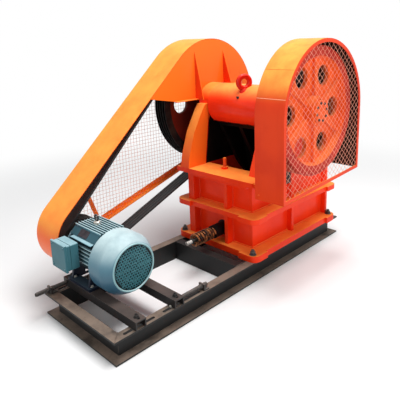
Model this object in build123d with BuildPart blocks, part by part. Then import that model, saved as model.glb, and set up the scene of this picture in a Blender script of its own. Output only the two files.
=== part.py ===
from build123d import *
import math
import os

os.makedirs("parts", exist_ok=True)

# All lengths are in millimetres. X runs along the shafts towards the flywheel,
# Y from the motor end to the feed end, Z up from the floor. The values below are
# measured from the middle of the base frame, and each finished piece is then moved
# along Y, so that the part's origin lies under the middle of the cross beam.

# Base frame of channels, open sides outward
base_width = 680.0
base_length = 2066.0
base_height = 130.0
channel_flange = 58.0
channel_web = 8.0
channel_flange_thickness = 10.0
cross_beam_y = -65.0
cross_beam_width = 60.0
slot_width = 18.0
slot_inset = 26.0
slot_starts = (-965.0, -715.0)
slot_lengths = (195.0, 270.0)

# Motor, frame size with a 160 mm centre height
motor_y = -750.0
motor_centre_height = 160.0
slide_beam_height = 48.0
slide_beam_width = 64.0
slide_beam_thickness = 7.0
slide_beam_spacing = 254.0
slide_beam_length = 690.0
motor_z = base_height + slide_beam_height + motor_centre_height
cowl_end_x = 138.0
cowl_radius = 172.0
cowl_mouth_radius = 133.0
cowl_length = 216.0
cowl_shoulder = 72.0
cowl_wall = 3.0
cowl_lug = 10.0
grille_radius = 125.0
grille_hole = 18.0
housing_start_x = -298.0
housing_end_x = -64.5
housing_radius = 124.0
fin_outer_radius = 152.0
fin_thickness = 4.0
fin_pitch = 14.0
side_fin_rows = 5
foot_length = 226.0
foot_width = 60.0
foot_thickness = 16.0
foot_bolt_inset = 26.0
foot_rib = 16.0
shield_thickness = 32.0
shield_radius = 150.0
motor_shaft_radius = 21.0
motor_shaft_end_x = -449.0
terminal_box_size = (146.0, 82.0, 148.0)
terminal_box_x = -223.0
terminal_box_z = 374.0
terminal_box_rear = -985.0

# Belt drive
belt_centre_x = -396.0
belt_count = 4
belt_pitch = 24.0
belt_top_width = 20.0
belt_thickness = 13.0
motor_pulley_radius = 150.0
motor_pulley_width = 100.0
big_pulley_radius = 417.0
big_pulley_width = 100.0
big_pulley_rim = 52.0
big_pulley_web = 22.0
big_pulley_hub_radius = 92.0
big_pulley_hub_width = 116.0
web_hole_radius = 62.0
web_hole_circle = 236.0

# Crusher shaft
shaft_y = 344.0
shaft_z = 1062.0
eccentricity = 10.0
journal_radius = 62.0
eccentric_radius = 78.0
shaft_end_radius = 50.0
shaft_left_x = -478.0
shaft_right_x = 578.0

# Flywheel
flywheel_radius = 389.0
flywheel_width = 120.0
flywheel_x = 512.0
flywheel_rim = 62.0
flywheel_web = 26.0
flywheel_rib = 20.0
flywheel_rib_height = 22.0
flywheel_hub_radius = 98.0
flywheel_hub_width = 138.0
flywheel_holes = 6

# Crusher frame
frame_rear = 45.0
frame_front = 962.0
foot_rear = -2.0
foot_front = 988.0
flange_half_width = 340.0
lug_half_width = 356.0
lug_length = 130.0
lug_corner = 52.0
wall_inner = 218.0
wall_outer = 250.0
rib_outer = 288.0
rib_thickness = 26.0
foot_flange = 42.0
mid_flange_top = 415.0
mid_flange = 34.0
ledge_top = 650.0
ledge_thickness = 32.0
ledge_depth = 205.0
ledge_half_width = 334.0
rear_rib_x = 75.0
rear_plate = 30.0
bay_depth = 58.0
wall_top = 1030.0
slope_feet = {-1: 14.0, 1: 111.0}
left_corner_rib = 272.0
slope_flange_width = 66.0
slope_flange_thickness = 24.0
front_plate = 42.0

# Bearing housings and swing jaw
housing_outer = 137.0
bearing_start = 212.0
bearing_end = 292.0
bearing_flange_radius = 158.0
running_gap = 0.08
seat_gap = 0.3
barrel_radius = 139.0
barrel_half_width = 205.0
jaw_half_width = 192.0
jaw_liner_half_width = 191.0
jaw_top_y = 500.0
jaw_bottom_y = 700.0
jaw_bottom_z = 330.0
jaw_liner_thickness = 36.0
jaw_liner_top_z = 1010.0
cheek_thickness = 18.0
fixed_liner_thickness = 42.0
fixed_liner_y = 800.0
chamber_bottom_z = 330.0

# Toggle, tension rod and spring
toggle_front = (606.0, 402.0)
toggle_rear = (262.0, 470.0)
toggle_thickness = 26.0
toggle_half_width = 170.0
rod_radius = 11.0
rod_tip_y = -246.0
rod_tip_z = 250.0
rod_front_y = 520.0
spring_radius = 34.0
spring_wire = 7.0
spring_start_y = -192.0
spring_end_y = -8.0
spring_turns = 8
washer_radius = 44.0
washer_thickness = 12.0

# Flywheel guard
guard_outer_x = 622.0
guard_inner_x = 424.0
guard_radius = 426.0
guard_sheet = 4.0
guard_bottom_rear = 598.0
guard_bottom_front = 634.0
guard_border = 22.0
guard_border_thickness = 4.0
guard_wire = 3.0
guard_mesh_pitch = 62.0
guard_slot = 75.0
guard_bracket_bar = 26.0
guard_bracket_pad = (74.0, 8.0)

# Belt guard
belt_guard_outer_x = -548.0
belt_guard_inner_x = -302.0
belt_guard_radius = 442.0
belt_guard_small_radius = 222.0
belt_guard_small_y = -724.0
belt_guard_small_z = 386.0
plate_bottom = ((-266.0, 1146.0), (-21.0, 1101.0), (300.0, 1096.0))
shaft_cutout = 78.0
lip_end_y = 186.0
gussets = ((180.0, 1096.0, 1430.0), (466.0, 1190.0, 1425.0))
gusset_reach = 74.0
gusset_thickness = 6.0
lip_depth = 28.0
bar_slope = 0.292
bar_size = 34.0
bar_trim = 16.0
brace_upper = (-592.0, 540.0)
brace_lower = (-520.0, 360.0)
brace_width = 30.0
belt_mesh_pitch = 60.0


def block(x0, x1, y0, y1, z0, z1, mode=Mode.ADD):
    """A box between two opposite corners, in the open part."""
    with Locations(((x0 + x1) / 2, (y0 + y1) / 2, (z0 + z1) / 2)):
        Box(abs(x1 - x0), abs(y1 - y0), abs(z1 - z0), mode=mode)


def save(part, name):
    """Labels and writes a finished piece, with the origin under the cross beam."""
    placed = Pos(0, -cross_beam_y, 0) * part
    placed.label = name
    export_step(placed, "parts/" + name + ".step")


half_width = base_width / 2
half_length = base_length / 2

# Long rails: channel profile, mitred ends and slots for the motor slides
for side, name in ((-1, "base_rail_left"), (1, "base_rail_right")):
    web_x = half_width - channel_flange
    with BuildPart() as rail:
        block(side * web_x, side * (web_x + channel_web), -half_length, half_length, 0, base_height)
        for z0 in (0, base_height - channel_flange_thickness):
            block(side * web_x, side * half_width, -half_length, half_length, z0, z0 + channel_flange_thickness)
        with BuildSketch(Plane.XY) as outline:
            with BuildLine():
                Polyline(
                    (side * half_width, -half_length),
                    (side * half_width, half_length),
                    (side * web_x, half_length - channel_flange),
                    (side * web_x, -half_length + channel_flange),
                    close=True,
                )
            make_face()
        extrude(amount=base_height, mode=Mode.INTERSECT)
        slot_x = side * (half_width - slot_inset)
        for start, length in zip(slot_starts, slot_lengths):
            with BuildSketch(Plane.XY.offset(base_height)):
                with Locations((slot_x, start + length / 2)):
                    SlotOverall(length, slot_width, rotation=90)
            extrude(amount=-channel_flange_thickness * 2, mode=Mode.SUBTRACT)
    save(rail.part, name)

# End channels between the rails, mitred the same way
for side, name in ((-1, "base_end_rear"), (1, "base_end_front")):
    web_y = half_length - channel_flange
    with BuildPart() as end_channel:
        block(-half_width, half_width, side * web_y, side * (web_y + channel_web), 0, base_height)
        for z0 in (0, base_height - channel_flange_thickness):
            block(-half_width, half_width, side * web_y, side * half_length, z0, z0 + channel_flange_thickness)
        with BuildSketch(Plane.XY) as outline:
            with BuildLine():
                Polyline(
                    (-half_width, side * half_length),
                    (half_width, side * half_length),
                    (half_width - channel_flange, side * web_y),
                    (-half_width + channel_flange, side * web_y),
                    close=True,
                )
            make_face()
        extrude(amount=base_height, mode=Mode.INTERSECT)
    save(end_channel.part, name)

# Cross beam under the crusher's rear feet
inner_half = half_width - channel_flange
with BuildPart() as cross_beam:
    beam_rear = cross_beam_y - cross_beam_width / 2
    beam_front = cross_beam_y + cross_beam_width / 2
    block(-inner_half, inner_half, beam_rear, beam_rear + channel_web, 0, base_height)
    for z0 in (0, base_height - channel_flange_thickness):
        block(-inner_half, inner_half, beam_rear, beam_front, z0, z0 + channel_flange_thickness)
save(cross_beam.part, "base_cross_beam")

# Motor slide beams: inverted channels across both rails with a bolt slot at each end
for sign, name in ((-1, "motor_slide_rear"), (1, "motor_slide_front")):
    beam_y = motor_y + sign * slide_beam_spacing / 2
    with BuildPart() as slide:
        with BuildSketch(Plane.YZ.offset(-slide_beam_length / 2)):
            with BuildLine():
                Polyline(
                    (beam_y - slide_beam_width / 2, base_height),
                    (beam_y - slide_beam_width / 2, base_height + slide_beam_height),
                    (beam_y + slide_beam_width / 2, base_height + slide_beam_height),
                    (beam_y + slide_beam_width / 2, base_height),
                    (beam_y + slide_beam_width / 2 - slide_beam_thickness, base_height),
                    (beam_y + slide_beam_width / 2 - slide_beam_thickness,
                     base_height + slide_beam_height - slide_beam_thickness),
                    (beam_y - slide_beam_width / 2 + slide_beam_thickness,
                     base_height + slide_beam_height - slide_beam_thickness),
                    (beam_y - slide_beam_width / 2 + slide_beam_thickness, base_height),
                    close=True,
                )
            make_face()
        extrude(amount=slide_beam_length)
        with BuildSketch(Plane.XY.offset(base_height + slide_beam_height)):
            with Locations((-half_width + slot_inset, beam_y), (half_width - slot_inset, beam_y)):
                SlotOverall(slot_width * 2, slot_width)
        extrude(amount=-slide_beam_height, mode=Mode.SUBTRACT)
    save(slide.part, name)

# Tension screws: an angle bracket on the rail and a threaded rod through it
screw_z = base_height + slide_beam_height / 2
rear_slide_face = motor_y - slide_beam_spacing / 2 - slide_beam_width / 2
front_slide_face = motor_y + slide_beam_spacing / 2 + slide_beam_width / 2
for side, name, bracket_y, rod_start, rod_end in (
    (-1, "tension_screw_left", -1012.0, -1098.0, rear_slide_face),
    (1, "tension_screw_right", -425.0, front_slide_face, -405.0),
):
    rod_x = side * (half_width - slot_inset)
    with BuildPart() as screw:
        block(rod_x - 22, rod_x + 22, bracket_y - 5, bracket_y + 5, base_height, base_height + 40)
        block(rod_x - 22, rod_x + 22, bracket_y - 5, bracket_y + 34, base_height, base_height + 8)
        with BuildSketch(Plane.XZ.offset(-rod_start)):
            with Locations((rod_x, screw_z)):
                Circle(8)
        extrude(amount=-(rod_end - rod_start))
        for nut_y in (bracket_y - 17, bracket_y + 17):
            with BuildSketch(Plane.XZ.offset(-(nut_y - 6))):
                with Locations((rod_x, screw_z)):
                    RegularPolygon(14, 6)
            extrude(amount=-12)
    save(screw.part, name)

# Motor housing: barrel with flat-set fins on top and on both sides
with BuildPart() as motor_housing:
    with BuildSketch(Plane.YZ.offset(housing_start_x)):
        with Locations((motor_y, motor_z)):
            Circle(housing_radius)
    extrude(amount=housing_end_x - housing_start_x)
    with BuildSketch(Plane.YZ.offset(housing_start_x)) as fins:
        side_rows = [k * fin_pitch for k in range(-side_fin_rows, side_fin_rows + 1)]
        with Locations(*[(motor_y, motor_z + row) for row in side_rows]):
            Rectangle(2 * fin_outer_radius, fin_thickness)
        with Locations(*[(motor_y + row, motor_z + fin_outer_radius / 2) for row in side_rows]):
            Rectangle(fin_thickness, fin_outer_radius)
        with Locations((motor_y, motor_z)):
            Circle(fin_outer_radius, mode=Mode.INTERSECT)
    extrude(amount=housing_end_x - housing_start_x)
    box_front = terminal_box_x + terminal_box_size[0] / 2
    box_back = terminal_box_x - terminal_box_size[0] / 2
    block(box_back, box_front, terminal_box_rear + terminal_box_size[1], motor_y,
          terminal_box_z - 45, terminal_box_z + 45)
    # lugs that carry the fan cowl
    with BuildSketch(Plane.YZ.offset(housing_end_x - cowl_lug)):
        with Locations((motor_y, motor_z)):
            with PolarLocations((housing_radius + cowl_radius) / 2 - cowl_lug, 4, start_angle=45):
                Rectangle(cowl_radius - housing_radius + 2 * cowl_lug, cowl_lug * 2)
            Circle(cowl_radius - cowl_wall - seat_gap, mode=Mode.INTERSECT)
    extrude(amount=cowl_lug)
save(motor_housing.part, "motor_housing")

# Motor feet: two rails with ribs up to the barrel
with BuildPart() as motor_feet:
    foot_x0 = (housing_start_x + housing_end_x) / 2 - foot_length / 2
    foot_x1 = foot_x0 + foot_length
    foot_z = base_height + slide_beam_height
    # the ribs end under the lowest side fin
    foot_rib_top = motor_z - side_fin_rows * fin_pitch - fin_thickness / 2 - seat_gap
    for sign in (-1, 1):
        foot_y = motor_y + sign * slide_beam_spacing / 2
        block(foot_x0, foot_x1, foot_y - foot_width / 2, foot_y + foot_width / 2, foot_z, foot_z + foot_thickness)
        for rib_x in (foot_x0 + foot_bolt_inset, foot_x1 - foot_bolt_inset):
            with BuildSketch(Plane.YZ.offset(rib_x - foot_rib / 2)):
                with BuildLine():
                    Polyline(
                        (motor_y + sign * housing_radius / 2, foot_z + foot_thickness / 2),
                        (foot_y + sign * foot_width / 3, foot_z + foot_thickness / 2),
                        (foot_y, foot_rib_top),
                        (motor_y + sign * housing_radius / 2, foot_rib_top),
                        close=True,
                    )
                make_face()
            extrude(amount=foot_rib)
    with BuildSketch(Plane.YZ.offset(foot_x0)):
        with Locations((motor_y, foot_z + 3)):
            Rectangle(slide_beam_spacing, 6)
    extrude(amount=20)
    with BuildSketch(Plane.YZ.offset(housing_start_x - 1)):
        with Locations((motor_y, motor_z)):
            Circle(housing_radius + seat_gap)
    extrude(amount=housing_end_x - housing_start_x + 2, mode=Mode.SUBTRACT)
    with Locations(*[
        (x, motor_y + sign * slide_beam_spacing / 2, foot_z)
        for x in (foot_x0 + foot_bolt_inset, foot_x1 - foot_bolt_inset)
        for sign in (-1, 1)
    ]):
        Cylinder(7.5, foot_thickness * 3, mode=Mode.SUBTRACT)
save(motor_feet.part, "motor_feet")

# Drive end shield with a bearing boss
with BuildPart() as end_shield:
    with BuildSketch(Plane.XY) as shield_profile:
        with BuildLine():
            Polyline(
                (motor_shaft_radius + running_gap, housing_start_x),
                (shield_radius, housing_start_x),
                (shield_radius, housing_start_x - shield_thickness * 0.45),
                (shield_radius * 0.8, housing_start_x - shield_thickness),
                (motor_shaft_radius + 34, housing_start_x - shield_thickness),
                (motor_shaft_radius + 24, housing_start_x - shield_thickness - 12),
                (motor_shaft_radius + running_gap, housing_start_x - shield_thickness - 12),
                close=True,
            )
        make_face()
    revolve(axis=Axis.Y)
shield_part = Pos(0, motor_y, motor_z) * Rot(0, 0, -90) * end_shield.part
save(shield_part, "motor_end_shield")

# Fan cowl: spun shell with a sloping shoulder and rings of grille holes
with BuildPart() as fan_cowl:
    cowl_back = -cowl_length
    with BuildSketch(Plane.XY):
        with BuildLine():
            Polyline(
                (0, 0),
                (cowl_mouth_radius, 0),
                (cowl_radius, -cowl_shoulder),
                (cowl_radius, cowl_back),
                (cowl_radius - cowl_wall, cowl_back),
                (cowl_radius - cowl_wall, -cowl_shoulder - cowl_wall / 2),
                (cowl_mouth_radius - cowl_wall, -cowl_wall),
                (0, -cowl_wall),
                close=True,
            )
        make_face()
    revolve(axis=Axis.Y)
    with BuildSketch(Plane.XZ):
        for ring, number in ((46, 6), (80, 8), (108, 12)):
            with PolarLocations(ring, number):
                Circle(grille_hole / 2)
    extrude(amount=cowl_wall * 4, both=True, mode=Mode.SUBTRACT)
cowl_part = Pos(cowl_end_x, motor_y, motor_z) * Rot(0, 0, -90) * fan_cowl.part
save(cowl_part, "fan_cowl")

# Terminal box on the side of the motor, with its lid line
box_x, box_y, box_z = terminal_box_size
with BuildPart() as terminal_box:
    with Locations((terminal_box_x, terminal_box_rear + box_y / 2, terminal_box_z)):
        Box(box_x, box_y, box_z)
    fillet(terminal_box.edges().filter_by(Axis.Y), radius=9)
    with Locations((terminal_box_x, terminal_box_rear + box_y * 0.42, terminal_box_z)):
        Box(box_x + 2, 3, box_z + 2, mode=Mode.SUBTRACT)
    with Locations((terminal_box_x, terminal_box_rear + box_y * 0.42, terminal_box_z)):
        Box(box_x - 6, 4, box_z - 6)
save(terminal_box.part, "terminal_box")

# Motor rotor shaft with the key end, and its grooved pulley
with BuildPart() as motor_shaft:
    with BuildSketch(Plane.YZ.offset(motor_shaft_end_x)):
        with Locations((motor_y, motor_z)):
            Circle(motor_shaft_radius)
    extrude(amount=housing_start_x - 4 - motor_shaft_end_x)
save(motor_shaft.part, "motor_shaft")


def pulley_profile(radius, width, bore):
    """Half section of a grooved pulley about the Y axis, grooves cut by the belts."""
    points = [(bore, -width / 2), (radius, -width / 2)]
    first = -(belt_count - 1) / 2 * belt_pitch
    for k in range(belt_count):
        centre = first + k * belt_pitch
        points.append((radius, centre - belt_top_width / 2 - 0.4))
        points.append((radius - belt_thickness - 3, centre - belt_top_width / 2 - 0.4))
        points.append((radius - belt_thickness - 3, centre + belt_top_width / 2 + 0.4))
        points.append((radius, centre + belt_top_width / 2 + 0.4))
    points += [(radius, width / 2), (bore, width / 2)]
    return points


with BuildPart() as motor_pulley:
    with BuildSketch(Plane.XY):
        with BuildLine():
            Polyline(*pulley_profile(motor_pulley_radius, motor_pulley_width, motor_shaft_radius), close=True)
        make_face()
    revolve(axis=Axis.Y)
pulley_part = Pos(belt_centre_x, motor_y, motor_z) * Rot(0, 0, -90) * motor_pulley.part
save(pulley_part, "motor_pulley")

# Big grooved pulley: rim, thin web with round holes, hub
with BuildPart() as grooved_pulley:
    with BuildSketch(Plane.XY):
        with BuildLine():
            Polyline(*pulley_profile(big_pulley_radius, big_pulley_width, big_pulley_radius - big_pulley_rim),
                     close=True)
        make_face()
        with Locations(((big_pulley_radius - big_pulley_rim / 2 + shaft_end_radius) / 2, 0)):
            Rectangle(big_pulley_radius - big_pulley_rim / 2 - shaft_end_radius - big_pulley_rim / 4, big_pulley_web)
        with Locations(((big_pulley_hub_radius + shaft_end_radius) / 2, 0)):
            Rectangle(big_pulley_hub_radius - shaft_end_radius, big_pulley_hub_width)
    revolve(axis=Axis.Y)
    with BuildSketch(Plane.XZ):
        with PolarLocations(web_hole_circle, flywheel_holes):
            Circle(web_hole_radius)
    extrude(amount=big_pulley_web, both=True, mode=Mode.SUBTRACT)
big_pulley_part = Pos(belt_centre_x, shaft_y, shaft_z) * Rot(0, 0, -90) * grooved_pulley.part
save(big_pulley_part, "grooved_pulley")

# Belts: each a closed loop round both pulleys, all at the grooves' depth
drive_dy = motor_y - shaft_y
drive_dz = motor_z - shaft_z
drive_length = math.hypot(drive_dy, drive_dz)
drive_angle = math.degrees(math.atan2(drive_dz, drive_dy))
loop_angle = math.asin((big_pulley_radius - motor_pulley_radius) / drive_length)


def belt_outline(offset):
    """Four tangent points of a loop offset from the pulley rims, along the drive line."""
    big = big_pulley_radius + offset
    small = motor_pulley_radius + offset
    sine = math.sin(loop_angle)
    cosine = math.cos(loop_angle)
    return (
        (big * sine, big * cosine),
        (drive_length + small * sine, small * cosine),
        (drive_length + small, 0),
        (drive_length + small * sine, -small * cosine),
        (big * sine, -big * cosine),
        (-big, 0),
    )


belt_plane = Plane(
    origin=(belt_centre_x, shaft_y, shaft_z),
    x_dir=(0, math.cos(math.radians(drive_angle)), math.sin(math.radians(drive_angle))),
    z_dir=(1, 0, 0),
)
with BuildPart() as v_belts:
    first_belt = -(belt_count - 1) / 2 * belt_pitch
    for k in range(belt_count):
        centre = first_belt + k * belt_pitch
        with BuildSketch(belt_plane.offset(centre - belt_top_width / 2)):
            for offset, mode in ((1.0, Mode.ADD), (-belt_thickness + 1.0, Mode.SUBTRACT)):
                top_a, top_b, small_end, low_a, low_b, big_end = belt_outline(offset)
                with BuildLine():
                    Line(top_a, top_b)
                    ThreePointArc(top_b, small_end, low_a)
                    Line(low_a, low_b)
                    ThreePointArc(low_b, big_end, top_a)
                make_face(mode=mode)
        extrude(amount=belt_top_width)
    for k in range(belt_count - 1):
        centre = first_belt + (k + 0.5) * belt_pitch
        with BuildSketch(belt_plane.offset(centre - belt_pitch / 2)):
            for offset, mode in ((1.0, Mode.ADD), (0.4, Mode.SUBTRACT)):
                top_a, top_b, small_end, low_a, low_b, big_end = belt_outline(offset)
                with BuildLine():
                    Line(top_a, top_b)
                    ThreePointArc(top_b, small_end, low_a)
                    Line(low_a, low_b)
                    ThreePointArc(low_b, big_end, top_a)
                make_face(mode=mode)
        extrude(amount=belt_pitch)
save(v_belts.part, "v_belts")

# Eccentric shaft: end journals, main journals and the eccentric middle
shaft_plane = Plane(origin=(0, shaft_y, shaft_z), x_dir=(0, 1, 0), z_dir=(1, 0, 0))
with BuildPart() as eccentric_shaft:
    with BuildSketch(shaft_plane.offset(shaft_left_x)):
        Circle(shaft_end_radius)
    extrude(amount=shaft_right_x - shaft_left_x)
    with BuildSketch(shaft_plane.offset(-bearing_end - 12)):
        Circle(journal_radius)
    extrude(amount=2 * (bearing_end + 12))
    with BuildSketch(shaft_plane.offset(-barrel_half_width)):
        with Locations((-eccentricity, 0)):
            Circle(eccentric_radius)
    extrude(amount=2 * barrel_half_width)
save(eccentric_shaft.part, "eccentric_shaft")

# Flywheel: heavy rim, recessed web with six round holes, ribs between them, hub with clamp ring
with BuildPart() as flywheel:
    rim_inner = flywheel_radius - flywheel_rim
    with BuildSketch(Plane.XY):
        with BuildLine():
            Polyline(
                (rim_inner, -flywheel_width / 2),
                (flywheel_radius - 4, -flywheel_width / 2),
                (flywheel_radius, -flywheel_width / 2 + 4),
                (flywheel_radius, flywheel_width / 2 - 4),
                (flywheel_radius - 4, flywheel_width / 2),
                (rim_inner, flywheel_width / 2),
                (rim_inner - 14, flywheel_web / 2),
                (rim_inner - 14, -flywheel_web / 2),
                close=True,
            )
        make_face()
        with Locations(((rim_inner + shaft_end_radius) / 2, 0)):
            Rectangle(rim_inner - shaft_end_radius, flywheel_web)
        with BuildLine():
            Polyline(
                (shaft_end_radius, -flywheel_hub_width / 2),
                (flywheel_hub_radius - 8, -flywheel_hub_width / 2),
                (flywheel_hub_radius, 0),
                (flywheel_hub_radius - 8, flywheel_hub_width / 2),
                (shaft_end_radius, flywheel_hub_width / 2),
                close=True,
            )
        make_face()
    revolve(axis=Axis.Y)
    with BuildSketch(Plane.XZ):
        with PolarLocations((flywheel_hub_radius + rim_inner) / 2, flywheel_holes, start_angle=30):
            Rectangle(rim_inner - flywheel_hub_radius + 12, flywheel_rib)
    extrude(amount=flywheel_web / 2 + flywheel_rib_height, both=True)
    with BuildSketch(Plane.XZ):
        with PolarLocations(web_hole_circle + 2, flywheel_holes):
            Circle(web_hole_radius)
    extrude(amount=flywheel_web, both=True, mode=Mode.SUBTRACT)
    with BuildSketch(Plane.XZ.offset(-flywheel_hub_width / 2)):
        with PolarLocations((flywheel_hub_radius + shaft_end_radius) / 2 - 2, 8):
            Circle(6)
    extrude(amount=14, mode=Mode.SUBTRACT)
flywheel_part = Pos(flywheel_x, shaft_y, shaft_z) * Rot(0, 0, -90) * flywheel.part
save(flywheel_part, "flywheel")

# Side walls: profiled plate, feet, mid flange, ribs and the sloping rear flange
slope_top = (shaft_y - 84.0, wall_top)
for side, name in ((-1, "left_side_wall"), (1, "right_side_wall")):
    plate_plane = Plane(origin=(side * wall_inner, 0, 0), x_dir=(0, 1, 0), z_dir=(1, 0, 0))
    slope_foot_y = slope_feet[side]
    with BuildPart() as wall:
        with BuildSketch(plate_plane):
            with BuildLine():
                Polyline(
                    (frame_rear, base_height),
                    (frame_rear, ledge_top),
                    (slope_foot_y + 20, ledge_top),
                    slope_top,
                    (slope_top[0] + 10, shaft_z + 84),
                    (shaft_y + 150, shaft_z + 84),
                    (shaft_y + 190, wall_top),
                    (frame_front, wall_top),
                    (frame_front, base_height),
                    close=True,
                )
            make_face()
            with Locations((shaft_y, shaft_z)):
                Circle(housing_outer, mode=Mode.SUBTRACT)
        extrude(amount=side * (wall_outer - wall_inner))
        # the right rear corner has no post: the rear bays reach the wall's outer face
        if side > 0:
            for z0, z1 in ((base_height + foot_flange, mid_flange_top - mid_flange),
                           (mid_flange_top, ledge_top - 2 * ledge_thickness)):
                block(wall_inner, wall_outer, frame_rear, frame_rear + bay_depth, z0, z1, mode=Mode.SUBTRACT)
        # flanges with lugs at the corners
        for z0, z1 in ((base_height, base_height + foot_flange), (mid_flange_top - mid_flange, mid_flange_top)):
            with BuildSketch(Plane.XY.offset(z0)) as lugs:
                for y0, y1, out in (
                    (foot_rear, foot_rear + lug_length, lug_half_width),
                    (foot_front - lug_length, foot_front, lug_half_width),
                    (foot_rear + 20, foot_front - 20, flange_half_width),
                ):
                    with Locations((side * (wall_inner + out) / 2, (y0 + y1) / 2)):
                        Rectangle(out - wall_inner, y1 - y0)
                outer = lugs.vertices().sort_by(Axis.X)[-4:] if side > 0 else lugs.vertices().sort_by(Axis.X)[:4]
                corners = [outer.sort_by(Axis.Y)[0], outer.sort_by(Axis.Y)[-1]]
                fillet(corners, radius=lug_corner)
            extrude(amount=z1 - z0)
        # vertical ribs over both tiers
        rib_rows = [((frame_rear + frame_front) / 2, rib_outer), (frame_front - rib_thickness / 2, rib_outer)]
        if side < 0:
            rib_rows.append((frame_rear + rib_thickness / 2, left_corner_rib))
        for rib_y, reach in rib_rows:
            block(side * wall_outer, side * reach, rib_y - rib_thickness / 2, rib_y + rib_thickness / 2,
                  base_height + foot_flange, mid_flange_top - mid_flange)
            block(side * wall_outer, side * reach, rib_y - rib_thickness / 2, rib_y + rib_thickness / 2,
                  mid_flange_top, ledge_top - ledge_thickness)
        # top belt of the second tier
        block(side * wall_outer, side * rib_outer, frame_rear, frame_front, ledge_top - ledge_thickness, ledge_top)
        # ledge ends, under the sloping flange
        block(side * wall_inner, side * ledge_half_width, foot_rear + 4, ledge_depth,
              ledge_top - ledge_thickness, ledge_top)
        # sloping flange along the rear edge of the upper wall
        slope_run = slope_top[0] - slope_foot_y
        slope_rise = slope_top[1] - ledge_top
        slope_length = math.hypot(slope_run, slope_rise)
        normal = (slope_rise / slope_length, -slope_run / slope_length)
        with BuildSketch(plate_plane):
            with BuildLine():
                Polyline(
                    (slope_foot_y, ledge_top),
                    (slope_foot_y + slope_flange_thickness / normal[0], ledge_top),
                    (slope_top[0] + slope_flange_thickness * normal[0], slope_top[1] + slope_flange_thickness * normal[1]),
                    slope_top,
                    close=True,
                )
            make_face()
        extrude(amount=side * (slope_flange_width + wall_outer - wall_inner))
        # room for the bearing housing and its flange
        for x0, reach, radius in ((wall_inner, ledge_half_width - wall_inner, housing_outer),
                                  (wall_outer, ledge_half_width - wall_outer, bearing_flange_radius + seat_gap)):
            with BuildSketch(shaft_plane.offset(side * x0)):
                Circle(radius)
            extrude(amount=side * reach, mode=Mode.SUBTRACT)
    save(wall.part, name)

# Rear wall: ledge box, two tiers of recessed bays round an off-centre rib, feet flange
with BuildPart() as rear_wall:
    plate_y0 = frame_rear + bay_depth
    plate_y1 = plate_y0 + rear_plate
    inner = wall_inner
    block(-inner, inner, plate_y0, plate_y1, base_height, ledge_top - ledge_thickness)
    for z0, z1, y0 in (
        (base_height, base_height + foot_flange, foot_rear + 18),
        (mid_flange_top - mid_flange, mid_flange_top, foot_rear + 18),
    ):
        block(-inner, inner, y0, plate_y0, z0, z1)
    block(-inner, inner, foot_rear + 4, ledge_depth, ledge_top - ledge_thickness, ledge_top)
    block(-inner, inner, frame_rear, plate_y0, ledge_top - 2 * ledge_thickness, ledge_top - ledge_thickness)
    block(rear_rib_x - rib_thickness / 2, rear_rib_x + rib_thickness / 2, frame_rear, plate_y0,
          base_height, ledge_top - ledge_thickness)
    # round seat that takes the spring's thrust, with the rod's hole
    with BuildSketch(Plane.XZ.offset(-(spring_end_y + seat_gap))):
        with Locations((0, rod_tip_z)):
            Circle(washer_radius)
    extrude(amount=-(plate_y0 - spring_end_y))
    with BuildSketch(Plane.XZ.offset(-spring_end_y + 4)):
        with Locations((0, rod_tip_z)):
            Circle(rod_radius + 3)
    extrude(amount=-(plate_y1 - spring_end_y + 10), mode=Mode.SUBTRACT)
save(rear_wall.part, "rear_wall")

# Front wall with its ribs
with BuildPart() as front_wall:
    plate_y0 = fixed_liner_y + fixed_liner_thickness
    plate_y1 = plate_y0 + front_plate
    block(-inner, inner, plate_y0, plate_y1, base_height + 150, wall_top)
    for z0, z1 in ((mid_flange_top - mid_flange, mid_flange_top),
                   (ledge_top - ledge_thickness, ledge_top),
                   (wall_top - ledge_thickness, wall_top)):
        block(-inner, inner, plate_y1, frame_front, z0, z1)
    for rib_x in (-inner / 3, inner / 3):
        block(rib_x - rib_thickness / 2, rib_x + rib_thickness / 2, plate_y1, frame_front,
              mid_flange_top, wall_top - ledge_thickness)
save(front_wall.part, "front_wall")

# Bearing housings: flanged sleeves in the side walls
for side, name in ((-1, "left_bearing_housing"), (1, "right_bearing_housing")):
    with BuildPart() as housing:
        with BuildSketch(shaft_plane.offset(side * bearing_start)):
            Circle(housing_outer)
        extrude(amount=side * (bearing_end - bearing_start))
        with BuildSketch(shaft_plane.offset(side * wall_outer)):
            Circle(bearing_flange_radius)
        extrude(amount=side * 22)
        with BuildSketch(shaft_plane.offset(side * bearing_start)):
            Circle(journal_radius + running_gap)
        extrude(amount=side * (bearing_end - bearing_start), mode=Mode.SUBTRACT)
    save(housing.part, name)

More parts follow.
